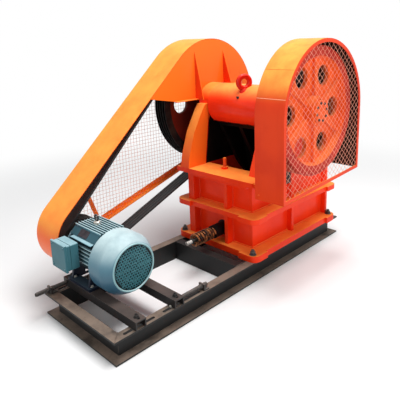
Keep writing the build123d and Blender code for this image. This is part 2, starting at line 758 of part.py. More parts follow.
# Swing jaw: barrel round the eccentric and a tapering body down to the toggle groove
jaw_axis_y = shaft_y - eccentricity
jaw_run = jaw_bottom_y - jaw_top_y
jaw_rise = jaw_liner_top_z - jaw_bottom_z
jaw_slope = jaw_run / jaw_rise
with BuildPart() as swing_jaw:
    with BuildSketch(Plane.YZ.offset(-jaw_half_width)):
        with BuildLine():
            Polyline(
                (jaw_axis_y - 96, shaft_z - 60),
                (jaw_axis_y + 60, shaft_z + 100),
                (jaw_top_y - 20, jaw_liner_top_z + 30),
                (jaw_top_y, jaw_liner_top_z),
                (jaw_bottom_y, jaw_bottom_z),
                (jaw_bottom_y - 90, jaw_bottom_z),
                (toggle_front[0] + 6, toggle_front[1] - 30),
                (toggle_front[0] + 6, toggle_front[1] + 34),
                (jaw_axis_y + 130, 620),
                close=True,
            )
        make_face()
    extrude(amount=2 * jaw_half_width)
    with BuildSketch(Plane.YZ.offset(-barrel_half_width)):
        with Locations((jaw_axis_y, shaft_z)):
            Circle(barrel_radius)
    extrude(amount=2 * barrel_half_width)
    # hollow back between the side webs and the middle web
    for x0, x1 in ((-jaw_half_width + 30, -15), (15, jaw_half_width - 30)):
        with BuildSketch(Plane.YZ.offset(x0)):
            with BuildLine():
                Polyline(
                    (jaw_axis_y - 60, shaft_z - 150),
                    (jaw_axis_y + 70, shaft_z - 160),
                    (jaw_top_y + jaw_slope * 170 - 46, jaw_liner_top_z - 170),
                    (jaw_bottom_y - 118, 470),
                    (jaw_axis_y + 120, 600),
                    close=True,
                )
            make_face()
        extrude(amount=x1 - x0, mode=Mode.SUBTRACT)
    with BuildSketch(Plane.YZ.offset(-barrel_half_width)):
        with Locations((jaw_axis_y, shaft_z)):
            Circle(eccentric_radius + running_gap)
    extrude(amount=2 * barrel_half_width, mode=Mode.SUBTRACT)
save(swing_jaw.part, "swing_jaw")

# Jaw plates with vertical teeth
normal_y = math.cos(math.atan(jaw_slope))
normal_z = math.sin(math.atan(jaw_slope))
tooth_pitch = 2 * jaw_liner_half_width / 8
swing_plane = Plane(
    origin=(0, jaw_top_y + seat_gap, jaw_liner_top_z),
    x_dir=(1, 0, 0),
    z_dir=(0, jaw_run, -jaw_rise),
)
liner_length = math.hypot(jaw_run, jaw_rise)


def toothed(width, thickness, forward):
    """Jaw plate section: flat back at zero, triangular teeth towards forward."""
    pitch = width / 8
    points = [(-width / 2, 0), (-width / 2, forward * (thickness - 12))]
    for k in range(8):
        points.append((-width / 2 + (k + 0.5) * pitch, forward * thickness))
        points.append((-width / 2 + (k + 1) * pitch, forward * (thickness - 12)))
    points.append((width / 2, 0))
    return points


with BuildPart() as swing_jaw_plate:
    with BuildSketch(swing_plane):
        with BuildLine():
            Polyline(*toothed(2 * jaw_liner_half_width, jaw_liner_thickness, swing_plane.y_dir.Y and
                              math.copysign(1, swing_plane.y_dir.Y)), close=True)
        make_face()
    extrude(amount=liner_length - 8)
save(swing_jaw_plate.part, "swing_jaw_plate")

with BuildPart() as fixed_jaw_plate:
    with BuildSketch(Plane.XY.offset(chamber_bottom_z)):
        with BuildLine():
            back_y = fixed_liner_y + fixed_liner_thickness - seat_gap
            section = toothed(2 * (wall_inner - cheek_thickness) - 2, fixed_liner_thickness - 1, -1)
            Polyline(*[(x, back_y + y) for x, y in section], close=True)
        make_face()
    extrude(amount=wall_top - 20 - chamber_bottom_z)
save(fixed_jaw_plate.part, "fixed_jaw_plate")

# Cheek plates lining the chamber sides
for side, name in ((-1, "left_cheek_plate"), (1, "right_cheek_plate")):
    with BuildPart() as cheek:
        with BuildSketch(Plane.YZ.offset(side * (wall_inner - seat_gap))):
            with BuildLine():
                Polyline(
                    (jaw_top_y + 60, wall_top - 30),
                    (fixed_liner_y + fixed_liner_thickness - 1, wall_top - 30),
                    (fixed_liner_y + fixed_liner_thickness - 1, chamber_bottom_z + 10),
                    (jaw_bottom_y + 60, chamber_bottom_z + 10),
                    close=True,
                )
            make_face()
        extrude(amount=-side * (cheek_thickness - seat_gap))
    save(cheek.part, name)

# Toggle plate and its rear seat block
toggle_dy = toggle_rear[0] - toggle_front[0]
toggle_dz = toggle_rear[1] - toggle_front[1]
toggle_length = math.hypot(toggle_dy, toggle_dz)
toggle_plane = Plane(
    origin=(-toggle_half_width, (toggle_front[0] + toggle_rear[0]) / 2, (toggle_front[1] + toggle_rear[1]) / 2),
    x_dir=(0, toggle_dy / toggle_length, toggle_dz / toggle_length),
    z_dir=(1, 0, 0),
)
with BuildPart() as toggle_plate:
    with BuildSketch(toggle_plane):
        SlotOverall(toggle_length, toggle_thickness * 1.6)
        Rectangle(toggle_length * 0.8, toggle_thickness)
    extrude(amount=2 * toggle_half_width)
save(toggle_plate.part, "toggle_plate")

seat_front = toggle_rear[0] + 12
with BuildPart() as toggle_seat:
    block(-inner + 2, inner - 2, frame_rear + bay_depth + rear_plate, seat_front, toggle_rear[1] - 62, toggle_rear[1] + 62)
    with BuildSketch(toggle_plane.offset(-40)):
        with Locations((toggle_length / 2 - toggle_thickness * 0.8, 0)):
            Circle(toggle_thickness * 0.8 + seat_gap)
    extrude(amount=2 * toggle_half_width + 80, mode=Mode.SUBTRACT)
    with BuildSketch(toggle_plane.offset(-40)):
        with Locations((toggle_length / 2 - toggle_thickness * 2, 0)):
            Rectangle(toggle_thickness * 2.4, toggle_thickness * 1.6 + 8)
    extrude(amount=2 * toggle_half_width + 80, mode=Mode.SUBTRACT)
save(toggle_seat.part, "toggle_seat")

# Adjusting stud standing on the ledge
stud_y = 150.0
with BuildPart() as adjusting_stud:
    with BuildSketch(Plane.XY.offset(ledge_top)):
        with Locations((-20, stud_y)):
            RegularPolygon(24, 6)
    extrude(amount=16)
    with BuildSketch(Plane.XY.offset(ledge_top)):
        with Locations((-20, stud_y)):
            Circle(10)
    extrude(amount=76)
save(adjusting_stud.part, "adjusting_stud")

# Tension rod with washers, and the coil spring between them
with BuildPart() as tension_rod:
    with BuildSketch(Plane.XZ.offset(-rod_tip_y)):
        with Locations((0, rod_tip_z)):
            Circle(rod_radius)
    extrude(amount=-(rod_front_y - rod_tip_y))
    with BuildSketch(Plane.XZ.offset(-(spring_start_y - washer_thickness))):
        with Locations((0, rod_tip_z)):
            Circle(washer_radius)
    extrude(amount=-washer_thickness)
    with BuildSketch(Plane.XZ.offset(-(spring_start_y - washer_thickness - 20))):
        with Locations((0, rod_tip_z)):
            RegularPolygon(22, 6)
    extrude(amount=-20)
save(tension_rod.part, "tension_rod")

spring_free = spring_end_y - spring_start_y - 2 * spring_wire
with BuildPart() as tension_spring:
    with BuildLine():
        Helix(pitch=spring_free / spring_turns, height=spring_free, radius=spring_radius)
    with BuildSketch(Plane(origin=(spring_radius, 0, 0), x_dir=(1, 0, 0), z_dir=(0, 1, 0))):
        Circle(spring_wire)
    sweep(is_frenet=True)
spring_part = Pos(0, spring_start_y + spring_wire, rod_tip_z) * Rot(-90, 0, 0) * tension_spring.part
save(spring_part, "tension_spring")

# Lifting eye on the barrel
with BuildPart() as lifting_eye:
    with BuildSketch(Plane.YZ.offset(-9)):
        with Locations((jaw_axis_y, shaft_z + barrel_radius + 30)):
            Circle(30)
        with Locations((jaw_axis_y, shaft_z + barrel_radius + 6)):
            Rectangle(52, 30)
        with Locations((jaw_axis_y, shaft_z + barrel_radius + 30)):
            Circle(15, mode=Mode.SUBTRACT)
    extrude(amount=18)
    with BuildSketch(Plane.YZ.offset(-12)):
        with Locations((jaw_axis_y, shaft_z)):
            Circle(barrel_radius + 0.2)
    extrude(amount=24, mode=Mode.SUBTRACT)
save(lifting_eye.part, "lifting_eye")

# Flywheel guard: arched rim sheet, open below, with a border strip round its outer side
guard_plane = Plane(origin=(guard_inner_x, shaft_y, 0), x_dir=(0, 1, 0), z_dir=(1, 0, 0))
guard_depth = guard_outer_x - guard_inner_x
guard_rise = (guard_bottom_front - guard_bottom_rear) / (2 * guard_radius)


def arch(radius, drop=0.0):
    """Outline of the flywheel guard at a radius, its sloping bottom lowered by drop."""
    middle = (guard_bottom_front + guard_bottom_rear) / 2 - drop
    Line((-radius, middle - guard_rise * radius), (-radius, shaft_z))
    ThreePointArc((-radius, shaft_z), (0, shaft_z + radius), (radius, shaft_z))
    Line((radius, shaft_z), (radius, middle + guard_rise * radius))
    Line((radius, middle + guard_rise * radius), (-radius, middle - guard_rise * radius))


with BuildPart() as guard_rim:
    with BuildSketch(guard_plane):
        with BuildLine():
            arch(guard_radius)
        make_face()
        with BuildLine():
            arch(guard_radius - guard_sheet, guard_border)
        make_face(mode=Mode.SUBTRACT)
    extrude(amount=guard_depth)
    with BuildSketch(guard_plane.offset(guard_depth - guard_border_thickness)):
        with BuildLine():
            arch(guard_radius)
        make_face()
        with BuildLine():
            arch(guard_radius - guard_border, -guard_border)
        make_face(mode=Mode.SUBTRACT)
    extrude(amount=guard_border_thickness)
save(guard_rim.part, "flywheel_guard_rim")

# Inner sheet of the flywheel guard, slotted so that the guard drops over the shaft
with BuildPart() as guard_plate:
    with BuildSketch(guard_plane):
        with BuildLine():
            arch(guard_radius - guard_sheet - seat_gap)
        make_face()
        with Locations((0, shaft_z)):
            Circle(guard_slot, mode=Mode.SUBTRACT)
        with Locations((0, shaft_z / 2)):
            Rectangle(2 * guard_slot, shaft_z, mode=Mode.SUBTRACT)
    extrude(amount=guard_sheet)
save(guard_plate.part, "flywheel_guard_plate")

# Diamond mesh on the guard's outer side
mesh_x = guard_outer_x - guard_border_thickness - guard_wire - seat_gap
with BuildPart() as guard_mesh:
    with BuildSketch(Plane(origin=(mesh_x, shaft_y, 0), x_dir=(0, 1, 0), z_dir=(1, 0, 0))) as lattice:
        reach = guard_radius * 2.6
        rows = int(reach / guard_mesh_pitch)
        for angle in (45, -45):
            with Locations((0, shaft_z - 20)):
                with Locations(*[
                    (k * guard_mesh_pitch * math.cos(math.radians(angle + 90)),
                     k * guard_mesh_pitch * math.sin(math.radians(angle + 90)))
                    for k in range(-rows // 2, rows // 2 + 1)
                ]):
                    Rectangle(reach, guard_wire, rotation=angle)
        r = guard_radius - guard_sheet - 0.4
        with BuildLine():
            Line((-r, guard_bottom_rear + 6), (-r, shaft_z))
            ThreePointArc((-r, shaft_z), (0, shaft_z + r), (r, shaft_z))
            Line((r, shaft_z), (r, guard_bottom_front + 6))
            Line((r, guard_bottom_front + 6), (-r, guard_bottom_rear + 6))
        make_face(mode=Mode.INTERSECT)
    extrude(amount=guard_wire)
    # edge wire that ties the lattice together
    with BuildSketch(Plane(origin=(mesh_x, shaft_y, 0), x_dir=(0, 1, 0), z_dir=(1, 0, 0))) as edge_wire:
        for inset, mode in ((0.0, Mode.ADD), (2 * guard_wire, Mode.SUBTRACT)):
            r = guard_radius - guard_sheet - 0.4 - inset
            with BuildLine():
                Line((-r, guard_bottom_rear + 6 + inset), (-r, shaft_z))
                ThreePointArc((-r, shaft_z), (0, shaft_z + r), (r, shaft_z))
                Line((r, shaft_z), (r, guard_bottom_front + 6 + inset))
                Line((r, guard_bottom_front + 6 + inset), (-r, guard_bottom_rear + 6 + inset))
            make_face(mode=mode)
    extrude(amount=guard_wire)
save(guard_mesh.part, "flywheel_guard_mesh")

# Guard bracket: bar from the ledge's end to a pad on the guard's inner sheet
pad_length, pad_thickness = guard_bracket_pad
bracket_y = foot_rear + guard_bracket_bar
bracket_z = ledge_top - ledge_thickness / 2
with BuildPart() as guard_bracket:
    block(ledge_half_width, guard_inner_x, bracket_y - guard_bracket_bar / 2, bracket_y + guard_bracket_bar / 2,
          bracket_z - guard_bracket_bar / 2, bracket_z + guard_bracket_bar / 2)
    block(guard_inner_x - pad_thickness, guard_inner_x, bracket_y - pad_length / 2, bracket_y + pad_length / 2,
          bracket_z - guard_bracket_bar / 2, bracket_z + guard_bracket_bar / 2)
save(guard_bracket.part, "flywheel_guard_bracket")

# Belt guard bracket: angle from the wall's top up to the guard's side plate
with BuildPart() as belt_bracket:
    block(-wall_outer, -wall_inner, 545, 600, wall_top, wall_top + 10)
    block(-wall_outer, -wall_outer + 10, 545, 600, wall_top, wall_top + 146)
    block(belt_guard_inner_x, -wall_outer, 545, 600, wall_top + 136, wall_top + 146)
save(belt_bracket.part, "belt_guard_bracket")


def guard_outline(inset):
    """Belt guard outline: round big end, sloping top, round small end; straight front."""
    big = belt_guard_radius - inset
    small = belt_guard_small_radius - inset
    dy = belt_guard_small_y - shaft_y
    dz = belt_guard_small_z - shaft_z
    length = math.hypot(dy, dz)
    along = (dy / length, dz / length)
    across = (along[1], -along[0])
    sine = (big - small) / length
    cosine = math.sqrt(1 - sine * sine)
    tangent = [sine * along[i] + cosine * across[i] for i in (0, 1)]
    low = (-math.cos(math.radians(44)), -math.sin(math.radians(44)))
    return {
        "front": (shaft_y + big, shaft_z),
        "top": (shaft_y, shaft_z + big),
        "tangent_big": (shaft_y + big * tangent[0], shaft_z + big * tangent[1]),
        "tangent_small": (belt_guard_small_y + small * tangent[0], belt_guard_small_z + small * tangent[1]),
        "rear": (belt_guard_small_y - small, belt_guard_small_z),
        "low": (belt_guard_small_y + small * low[0], belt_guard_small_z + small * low[1]),
    }


outer_line = guard_outline(0)
bar_rear = outer_line["low"]
bar_front = (shaft_y + belt_guard_radius, bar_rear[1] + bar_slope * (shaft_y + belt_guard_radius - bar_rear[0]))
belt_guard_plane = Plane(origin=(belt_guard_outer_x, 0, 0), x_dir=(0, 1, 0), z_dir=(1, 0, 0))
inner_line = guard_outline(guard_sheet)
with BuildPart() as belt_guard_rim:
    with BuildSketch(belt_guard_plane):
        with BuildLine():
            Line(bar_front, outer_line["front"])
            ThreePointArc(outer_line["front"], outer_line["top"], outer_line["tangent_big"])
            Line(outer_line["tangent_big"], outer_line["tangent_small"])
            ThreePointArc(outer_line["tangent_small"], outer_line["rear"], outer_line["low"])
            Line(outer_line["low"], inner_line["low"])
            ThreePointArc(inner_line["low"], inner_line["rear"], inner_line["tangent_small"])
            Line(inner_line["tangent_small"], inner_line["tangent_big"])
            ThreePointArc(inner_line["tangent_big"], inner_line["top"], inner_line["front"])
            Line(inner_line["front"], (bar_front[0] - guard_sheet, bar_front[1]))
            Line((bar_front[0] - guard_sheet, bar_front[1]), bar_front)
        make_face()
    extrude(amount=belt_guard_inner_x - belt_guard_outer_x)
save(belt_guard_rim.part, "belt_guard_rim")

# Inner side plate of the belt guard, with its lip, two standing gussets and the shaft cut-out
seat_line = guard_outline(guard_sheet + seat_gap)
plate_plane = Plane(origin=(belt_guard_inner_x - guard_sheet, 0, 0), x_dir=(0, 1, 0), z_dir=(1, 0, 0))
with BuildPart() as belt_guard_plate:
    with BuildSketch(plate_plane):
        with BuildLine():
            Line((seat_line["front"][0], shaft_z - shaft_cutout), seat_line["front"])
            ThreePointArc(seat_line["front"], seat_line["top"], seat_line["tangent_big"])
            Line(seat_line["tangent_big"], seat_line["tangent_small"])
            Line(seat_line["tangent_small"], (seat_line["front"][0], shaft_z - shaft_cutout))
        make_face()
        with BuildLine():
            Polyline(
                (plate_bottom[0][0] - 400, plate_bottom[0][1] + 73),
                plate_bottom[0],
                plate_bottom[1],
                plate_bottom[2],
                (shaft_y + belt_guard_radius + 40, plate_bottom[2][1]),
                (shaft_y + belt_guard_radius + 40, shaft_z + belt_guard_radius + 40),
                (plate_bottom[0][0] - 400, shaft_z + belt_guard_radius + 40),
                close=True,
            )
        make_face(mode=Mode.INTERSECT)
        with Locations((shaft_y, shaft_z)):
            Circle(shaft_cutout, mode=Mode.SUBTRACT)
    extrude(amount=guard_sheet)
    lip_x0 = belt_guard_inner_x
    block(lip_x0, lip_x0 + lip_depth, plate_bottom[1][0], lip_end_y, plate_bottom[2][1], plate_bottom[2][1] + 5)
    for gusset_y, base_z, top_z in gussets:
        with BuildSketch(Plane.XZ.offset(-gusset_y + gusset_thickness / 2)):
            with BuildLine():
                Polyline((lip_x0 - 1, base_z), (lip_x0 + gusset_reach, base_z), (lip_x0 - 1, top_z), close=True)
            make_face()
        extrude(amount=-gusset_thickness)
save(belt_guard_plate.part, "belt_guard_plate")

# Square mesh on the guard's outer side
mesh_line = guard_outline(guard_sheet + seat_gap)
with BuildPart() as belt_guard_mesh:
    with BuildSketch(belt_guard_plane.offset(guard_border_thickness)) as lattice:
        width_y = mesh_line["front"][0] - mesh_line["rear"][0]
        centre_y = mesh_line["front"][0] - width_y / 2
        columns = int(width_y / belt_mesh_pitch)
        height_z = mesh_line["top"][1] - mesh_line["low"][1]
        rows = int(height_z / belt_mesh_pitch)
        with Locations(*[(centre_y + (k - columns / 2) * belt_mesh_pitch, shaft_z) for k in range(columns + 1)]):
            Rectangle(guard_wire, 2 * shaft_z)
        with Locations(*[(centre_y, mesh_line["top"][1] - (k + 0.5) * belt_mesh_pitch) for k in range(rows + 1)]):
            Rectangle(width_y, guard_wire)
        with BuildLine():
            Line((mesh_line["front"][0], bar_front[1]), mesh_line["front"])
            ThreePointArc(mesh_line["front"], mesh_line["top"], mesh_line["tangent_big"])
            Line(mesh_line["tangent_big"], mesh_line["tangent_small"])
            ThreePointArc(mesh_line["tangent_small"], mesh_line["rear"], mesh_line["low"])
            Line(mesh_line["low"], (mesh_line["front"][0], bar_front[1]))
        make_face(mode=Mode.INTERSECT)
    extrude(amount=guard_wire)
save(belt_guard_mesh.part, "belt_guard_mesh")

# Lower angle bar of the guard's outer side, with the short brace up to the rim
bar_run = bar_front[0] - bar_rear[0]
bar_rise = bar_front[1] - bar_rear[1]
bar_length = math.hypot(bar_run, bar_rise)
bar_up = (-bar_rise / bar_length, bar_run / bar_length)
bar_a = (bar_rear[0] + bar_trim, bar_rear[1] + bar_trim * bar_slope)
bar_b = (bar_front[0] - guard_sheet, bar_front[1] - guard_sheet * bar_slope)
with BuildPart() as lower_bar:
    for depth, x0, reach in ((guard_border_thickness - seat_gap, 0.0, bar_size), (bar_size, 0.0, -5.0)):
        with BuildSketch(belt_guard_plane.offset(x0)):
            with BuildLine():
                Polyline(
                    bar_a,
                    bar_b,
                    (bar_b[0], bar_b[1] + reach * bar_length / bar_run),
                    (bar_a[0] + bar_up[0] * reach, bar_a[1] + bar_up[1] * reach),
                    close=True,
                )
            make_face()
        extrude(amount=depth)
    with BuildSketch(belt_guard_plane):
        with BuildLine():
            Polyline(
                (brace_upper[0] - brace_width / 2, brace_upper[1] + 20),
                (brace_upper[0] + brace_width / 2, brace_upper[1] + 20),
                (brace_lower[0] + brace_width / 2, brace_lower[1] - 10),
                (brace_lower[0] - brace_width / 2, brace_lower[1] - 10),
                close=True,
            )
        make_face()
    extrude(amount=guard_border_thickness - seat_gap)
save(lower_bar.part, "belt_guard_lower_bar")

print("built")
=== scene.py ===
import math

import bmesh
import bpy
from mathutils import Matrix, Vector


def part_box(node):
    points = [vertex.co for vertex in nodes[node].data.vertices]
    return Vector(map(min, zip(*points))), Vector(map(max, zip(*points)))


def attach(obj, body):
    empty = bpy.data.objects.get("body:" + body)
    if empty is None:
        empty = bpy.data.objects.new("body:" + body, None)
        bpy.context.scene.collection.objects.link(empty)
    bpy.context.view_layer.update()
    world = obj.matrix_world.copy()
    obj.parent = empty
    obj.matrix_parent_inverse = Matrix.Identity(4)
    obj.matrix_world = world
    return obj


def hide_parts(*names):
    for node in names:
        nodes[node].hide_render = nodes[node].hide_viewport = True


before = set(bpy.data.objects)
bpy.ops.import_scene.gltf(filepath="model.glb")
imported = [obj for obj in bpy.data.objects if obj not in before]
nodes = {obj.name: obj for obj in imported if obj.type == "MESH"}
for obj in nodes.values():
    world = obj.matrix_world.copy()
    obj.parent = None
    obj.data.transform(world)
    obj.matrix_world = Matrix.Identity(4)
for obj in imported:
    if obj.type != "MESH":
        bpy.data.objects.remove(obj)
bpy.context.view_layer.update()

# Metres; the part's frame: X across towards the flywheel, Y from the motor to the feed end, Z up.
MM = 0.001
X_AXIS = Vector((1, 0, 0))
Y_AXIS = Vector((0, 1, 0))
Z_AXIS = Vector((0, 0, 1))


def low(node):
    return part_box(node)[0]


def high(node):
    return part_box(node)[1]


def middle(node):
    return (low(node) + high(node)) / 2


def mm(*pairs):
    """A profile of (radius, height), given in millimetres."""
    return [(radius * MM, rise * MM) for radius, rise in pairs]


def spoke(degrees, reach=1.0):
    """The offset at an angle from an axis that runs along X."""
    angle = math.radians(degrees)
    return Vector((0, reach * math.cos(angle), reach * math.sin(angle)))


def polar(reach, angle, rise):
    return Vector((reach * math.cos(angle), reach * math.sin(angle), rise))


def add_object(name, data):
    made = bpy.data.objects.new(name, data)
    bpy.context.scene.collection.objects.link(made)
    return made


# Places read from the frame
base_y = (low("base_end_rear").y + high("base_end_front").y) / 2
shaft_y = middle("flywheel").y
shaft_z = middle("flywheel").z
motor_y = middle("motor_pulley").y
motor_z = middle("motor_pulley").z
shaft_axis = Vector((0, shaft_y, shaft_z))
motor_axis = Vector((0, motor_y, motor_z))
rail_top = high("base_rail_left").z
slide_top = high("motor_slide_rear").z
foot_top = rail_top + 42 * MM
ledge_top = high("rear_wall").z
mid_flange_top = 415 * MM
rod_z = middle("tension_spring").z
bay_floor = high("rear_wall").y - 102 * MM

# The motor as the photograph has it: reach of its fins, the barrel's ends, and the cowl's edge
fin_top = 162 * MM
fin_side = 133 * MM
cowl_edge = -30 * MM
fin_start = low("motor_housing").x + 4 * MM
fin_end = cowl_edge - 10 * MM


class Signal:
    """A number or colour running through one finish's nodes, written like a plain value."""

    def __init__(self, finish, socket):
        self.finish = finish
        self.socket = socket

    def sum_with(self, operation, first, second):
        return self.finish.node("ShaderNodeMath", {"operation": operation}, {0: first, 1: second})

    def __add__(self, other):
        return self.sum_with("ADD", self, other)

    __radd__ = __add__

    def __sub__(self, other):
        return self.sum_with("SUBTRACT", self, other)

    def __rsub__(self, other):
        return self.sum_with("SUBTRACT", other, self)

    def __mul__(self, other):
        return self.sum_with("MULTIPLY", self, other)

    __rmul__ = __mul__

    def __truediv__(self, other):
        return self.sum_with("DIVIDE", self, other)

    def __pow__(self, other):
        return self.sum_with("POWER", self, other)

    def between(self, start, end):
        """0 below start, 1 above end, and a smooth slope between."""
        return self.finish.node(
            "ShaderNodeMapRange",
            {"interpolation_type": "SMOOTHSTEP"},
            {0: self, 1: start, 2: end, 3: 0.0, 4: 1.0},
        )

    def above(self, other):
        return self.sum_with("MAXIMUM", self, other)


class Finish:
    """One material: its nodes, the place on the metal that they read, and its shader."""

    def __init__(self, name):
        self.painted = None
        self.material = bpy.data.materials.new(name)
        self.material.use_nodes = True
        self.tree = self.material.node_tree
        self.shader = self.tree.nodes["Principled BSDF"]
        self.place = self.node("ShaderNodeTexCoord", output="Object")

    def node(self, kind, settings=None, inputs=None, output=0):
        made = self.tree.nodes.new(kind)
        for setting, value in (settings or {}).items():
            setattr(made, setting, value)
        for socket, value in (inputs or {}).items():
            self.plug(made.inputs[socket], value)
        return Signal(self, made.outputs[output])

    def plug(self, socket, value):
        if isinstance(value, Signal):
            self.tree.links.new(value.socket, socket)
        else:
            socket.default_value = value

    def noise(self, scale, detail=3.0, rough=0.55, stretch=None):
        place = self.place
        if stretch:
            place = self.vector("MULTIPLY", place, stretch)
        inputs = {"Vector": place, "Scale": scale, "Detail": detail, "Roughness": rough}
        return self.node("ShaderNodeTexNoise", inputs=inputs)

    def vector(self, operation, first, second=(0, 0, 0), output=0):
        return self.node("ShaderNodeVectorMath", {"operation": operation}, {0: first, 1: second}, output)

    def mix(self, mask, under, over):
        return self.node("ShaderNodeMix", {"data_type": "RGBA"}, {0: mask, 6: under, 7: over}, 2)

    def mottled(self, scale, first, second, detail=5.0):
        """Two colours in soft clouds."""
        return self.mix(self.noise(scale, detail).between(0.35, 0.7), first, second)

    def facing(self, axis):
        """The share of the surface's own normal along an axis: 1 on faces that look that way."""
        normal = self.node("ShaderNodeTexCoord", output="Normal")
        return self.node("ShaderNodeSeparateXYZ", inputs={0: normal}, output=axis)

    def rounded(self, radius):
        return self.node("ShaderNodeBevel", {"samples": 4}, {"Radius": radius}, "Normal")

    def edges(self, rounded):
        """1 along outer and inner edges, where the rounded normal leaves the flat one."""
        flat = self.node("ShaderNodeNewGeometry", output="Normal")
        return (1 - self.vector("DOT_PRODUCT", rounded, flat, 1)).between(0.01, 0.16)

    def from_shaft(self):
        """Distance from the crusher's shaft."""
        flat = self.vector("MULTIPLY", self.vector("SUBTRACT", self.place, tuple(shaft_axis)), (0, 1, 1))
        return self.vector("LENGTH", flat, output="Value")

    def along(self, axis):
        return self.node("ShaderNodeSeparateXYZ", inputs={0: self.place}, output=axis)

    def cover(self, mask, colour):
        """Lays a colour over the paint where mask is 1."""
        self.painted = self.mix(mask, self.painted, colour)
        self.wire_up(Base_Color=self.painted)

    # Near-black mottle, for grease and for painted shade.
    def shade_and_grease_black(self):
        return self.mix(self.noise(9.0, 4.0).between(0.3, 0.7), srgb(7, 6, 7), srgb(20, 16, 15))

    def relief(self, height, strength, distance, normal=None):
        inputs = {"Height": height, "Strength": strength, "Distance": distance}
        if normal:
            inputs["Normal"] = normal
        return self.node("ShaderNodeBump", inputs=inputs)

    def wire_up(self, **inputs):
        for name, value in inputs.items():
            self.plug(self.shader.inputs[name.replace("_", " ")], value)


def srgb(red, green, blue):
    def straight(level):
        level /= 255
        return level / 12.92 if level <= 0.04045 else ((level + 0.055) / 1.055) ** 2.4

    return (straight(red), straight(green), straight(blue), 1.0)


# Finishes
bare_primer = srgb(78, 46, 34)
# painted light: the orange laid on faces toward +X
sunlit_orange = srgb(255, 122, 34)


def paint(name, colour, deep, dusty, gloss=0.32, coat=0.1, cast=0.0, dust=0.8, worn=0.4, edge=0.0025,
          sheen=0.12, rise=(0.25, 0.95), side=0.0):
    """Enamel over steel: uneven film, a pale tint on what looks up that is partly dust and partly painted
    skylight, chips along edges.

    cast roughens the skin, rise is the slope at which dust and painted skylight settle, side paints a sunlit
    orange on what faces +X as painted light.
    """
    made = Finish(name)
    rounded = made.rounded(edge)
    patches = made.noise(3.2, 4.0).between(0.38, 0.66)
    film = made.mix(patches * 0.55, colour, deep)
    # partly dust, partly painted skylight: up-facing faces take the pale dusty colour
    dust_and_skylight = made.facing("Z").between(*rise) * (made.noise(9.0, 5.0, 0.62).between(0.2, 0.75) * 0.4 + 0.6)
    film = made.mix(dust_and_skylight * dust, film, dusty)
    # painted light: faces toward +X are laid a sunlit orange
    if side:
        film = made.mix(made.facing("X").between(0.6, 0.95) * side, film, sunlit_orange)
    streaks = made.noise(14.0, 3.0, 0.6, (1.0, 1.0, 0.09)).between(0.56, 0.74)
    film = made.mix(streaks * 0.16, film, deep)
    chips = made.edges(rounded) * made.noise(85.0, 4.0, 0.7).between(0.56, 0.63) * worn
    nicks = made.noise(46.0, 6.0, 0.75).between(0.735, 0.75) * worn
    bare = chips.above(nicks)
    film = made.mix(bare, film, bare_primer)
    skin = made.noise(420.0, 2.0, 0.5) * 0.35 + made.noise(60.0, 3.0, 0.6) * (0.4 + cast)
    made.wire_up(
        Base_Color=film,
        Roughness=gloss + dust_and_skylight * 0.22 + bare * 0.3 + made.noise(24.0) * 0.08,
        Coat_Weight=coat - dust_and_skylight * coat * 0.7,
        Coat_Roughness=0.12,
        Normal=made.relief(skin - bare * 0.8, 0.16 + cast * 0.3, 0.0012, rounded),
        Specular_IOR_Level=sheen,
    )
    made.painted = film
    return made


def rolled_steel(name, dark, scale_tone, rust, top=0.85, rough=0.55):
    """Hot-rolled section: black mill scale on the sides, dusty brown on what looks up, rust runs."""
    made = Finish(name)
    rounded = made.rounded(0.003)
    up = made.facing("Z").between(0.4, 0.95)
    cloud = made.noise(5.0, 6.0, 0.65)
    worn_top = up * cloud.between(0.22, 0.6) * top
    tone = made.mix(worn_top, dark, scale_tone)
    rust_mask = made.noise(17.0, 7.0, 0.72).between(0.56, 0.74)
    tone = made.mix(rust_mask * 0.5, tone, rust)
    rubbed = made.edges(rounded) * made.noise(50.0).between(0.4, 0.6)
    tone = made.mix(rubbed * 0.5, tone, srgb(120, 108, 98))
    flakes = made.noise(160.0, 5.0, 0.7) * 0.5 + cloud * 0.5
    made.wire_up(
        Base_Color=tone,
        Metallic=0.25,
        Roughness=rough + worn_top * 0.25 + rust_mask * 0.15,
        Normal=made.relief(flakes, 0.35, 0.001, rounded),
    )
    return made


def machined(name, colour, stain, rough=0.28, turned=False, metal=0.95):
    """Worked steel with fine tool marks, in rings where it is turned, and a thin brown film."""
    made = Finish(name)
    rounded = made.rounded(0.0015)
    film = made.noise(22.0, 5.0, 0.65).between(0.42, 0.7)
    marks = made.noise(900.0, 2.0, 0.5, (1.0, 0.02, 0.02)) if turned else made.noise(500.0, 2.0, 0.5)
    made.wire_up(
        Base_Color=made.mix(film * 0.7, colour, stain),
        Metallic=metal,
        Roughness=rough + film * 0.25 + marks * 0.1,
        Normal=made.relief(marks, 0.15, 0.0006, rounded),
    )
    return made


orange = srgb(230, 64, 18)
orange_deep = srgb(206, 46, 14)
# the tint for up-facing orange: partly dust, partly painted skylight
orange_dust_and_skylight = srgb(255, 166, 72)
cast_orange = srgb(244, 58, 14)
cast_deep = srgb(222, 40, 10)


def guard_paint():
    """Orange sheet; within the flywheel's guard it is painted nearly black as painted shade."""
    made = paint("wheel_guard_paint", orange, orange_deep, orange_dust_and_skylight, dust=0.95, worn=0.3, rise=(0.2, 0.5))
    across = made.along("Y") - shaft_y
    above = (made.along("Z") - shaft_z).above(0.0)
    reach = (across * across + above * above) ** 0.5
    radius = high("flywheel_guard_rim").z - shaft_z
    left = low("flywheel_guard_plate").x
    right = high("flywheel_guard_rim").x
    x = made.along("X")
    # painted shade: the inside of the guard, between its plate and the mesh, is laid nearly black
    shaded_within = 1 - reach.between(radius - 3.0 * MM, radius - 1.5 * MM)
    shaded_within = shaded_within * x.between(left + 1 * MM, left + 2.5 * MM)
    shaded_within = shaded_within * (1 - x.between(right - 4.4 * MM, right - 3.6 * MM))
    made.cover(shaded_within, made.mottled(7.0, srgb(9, 5, 6), srgb(44, 12, 12)))
    return made


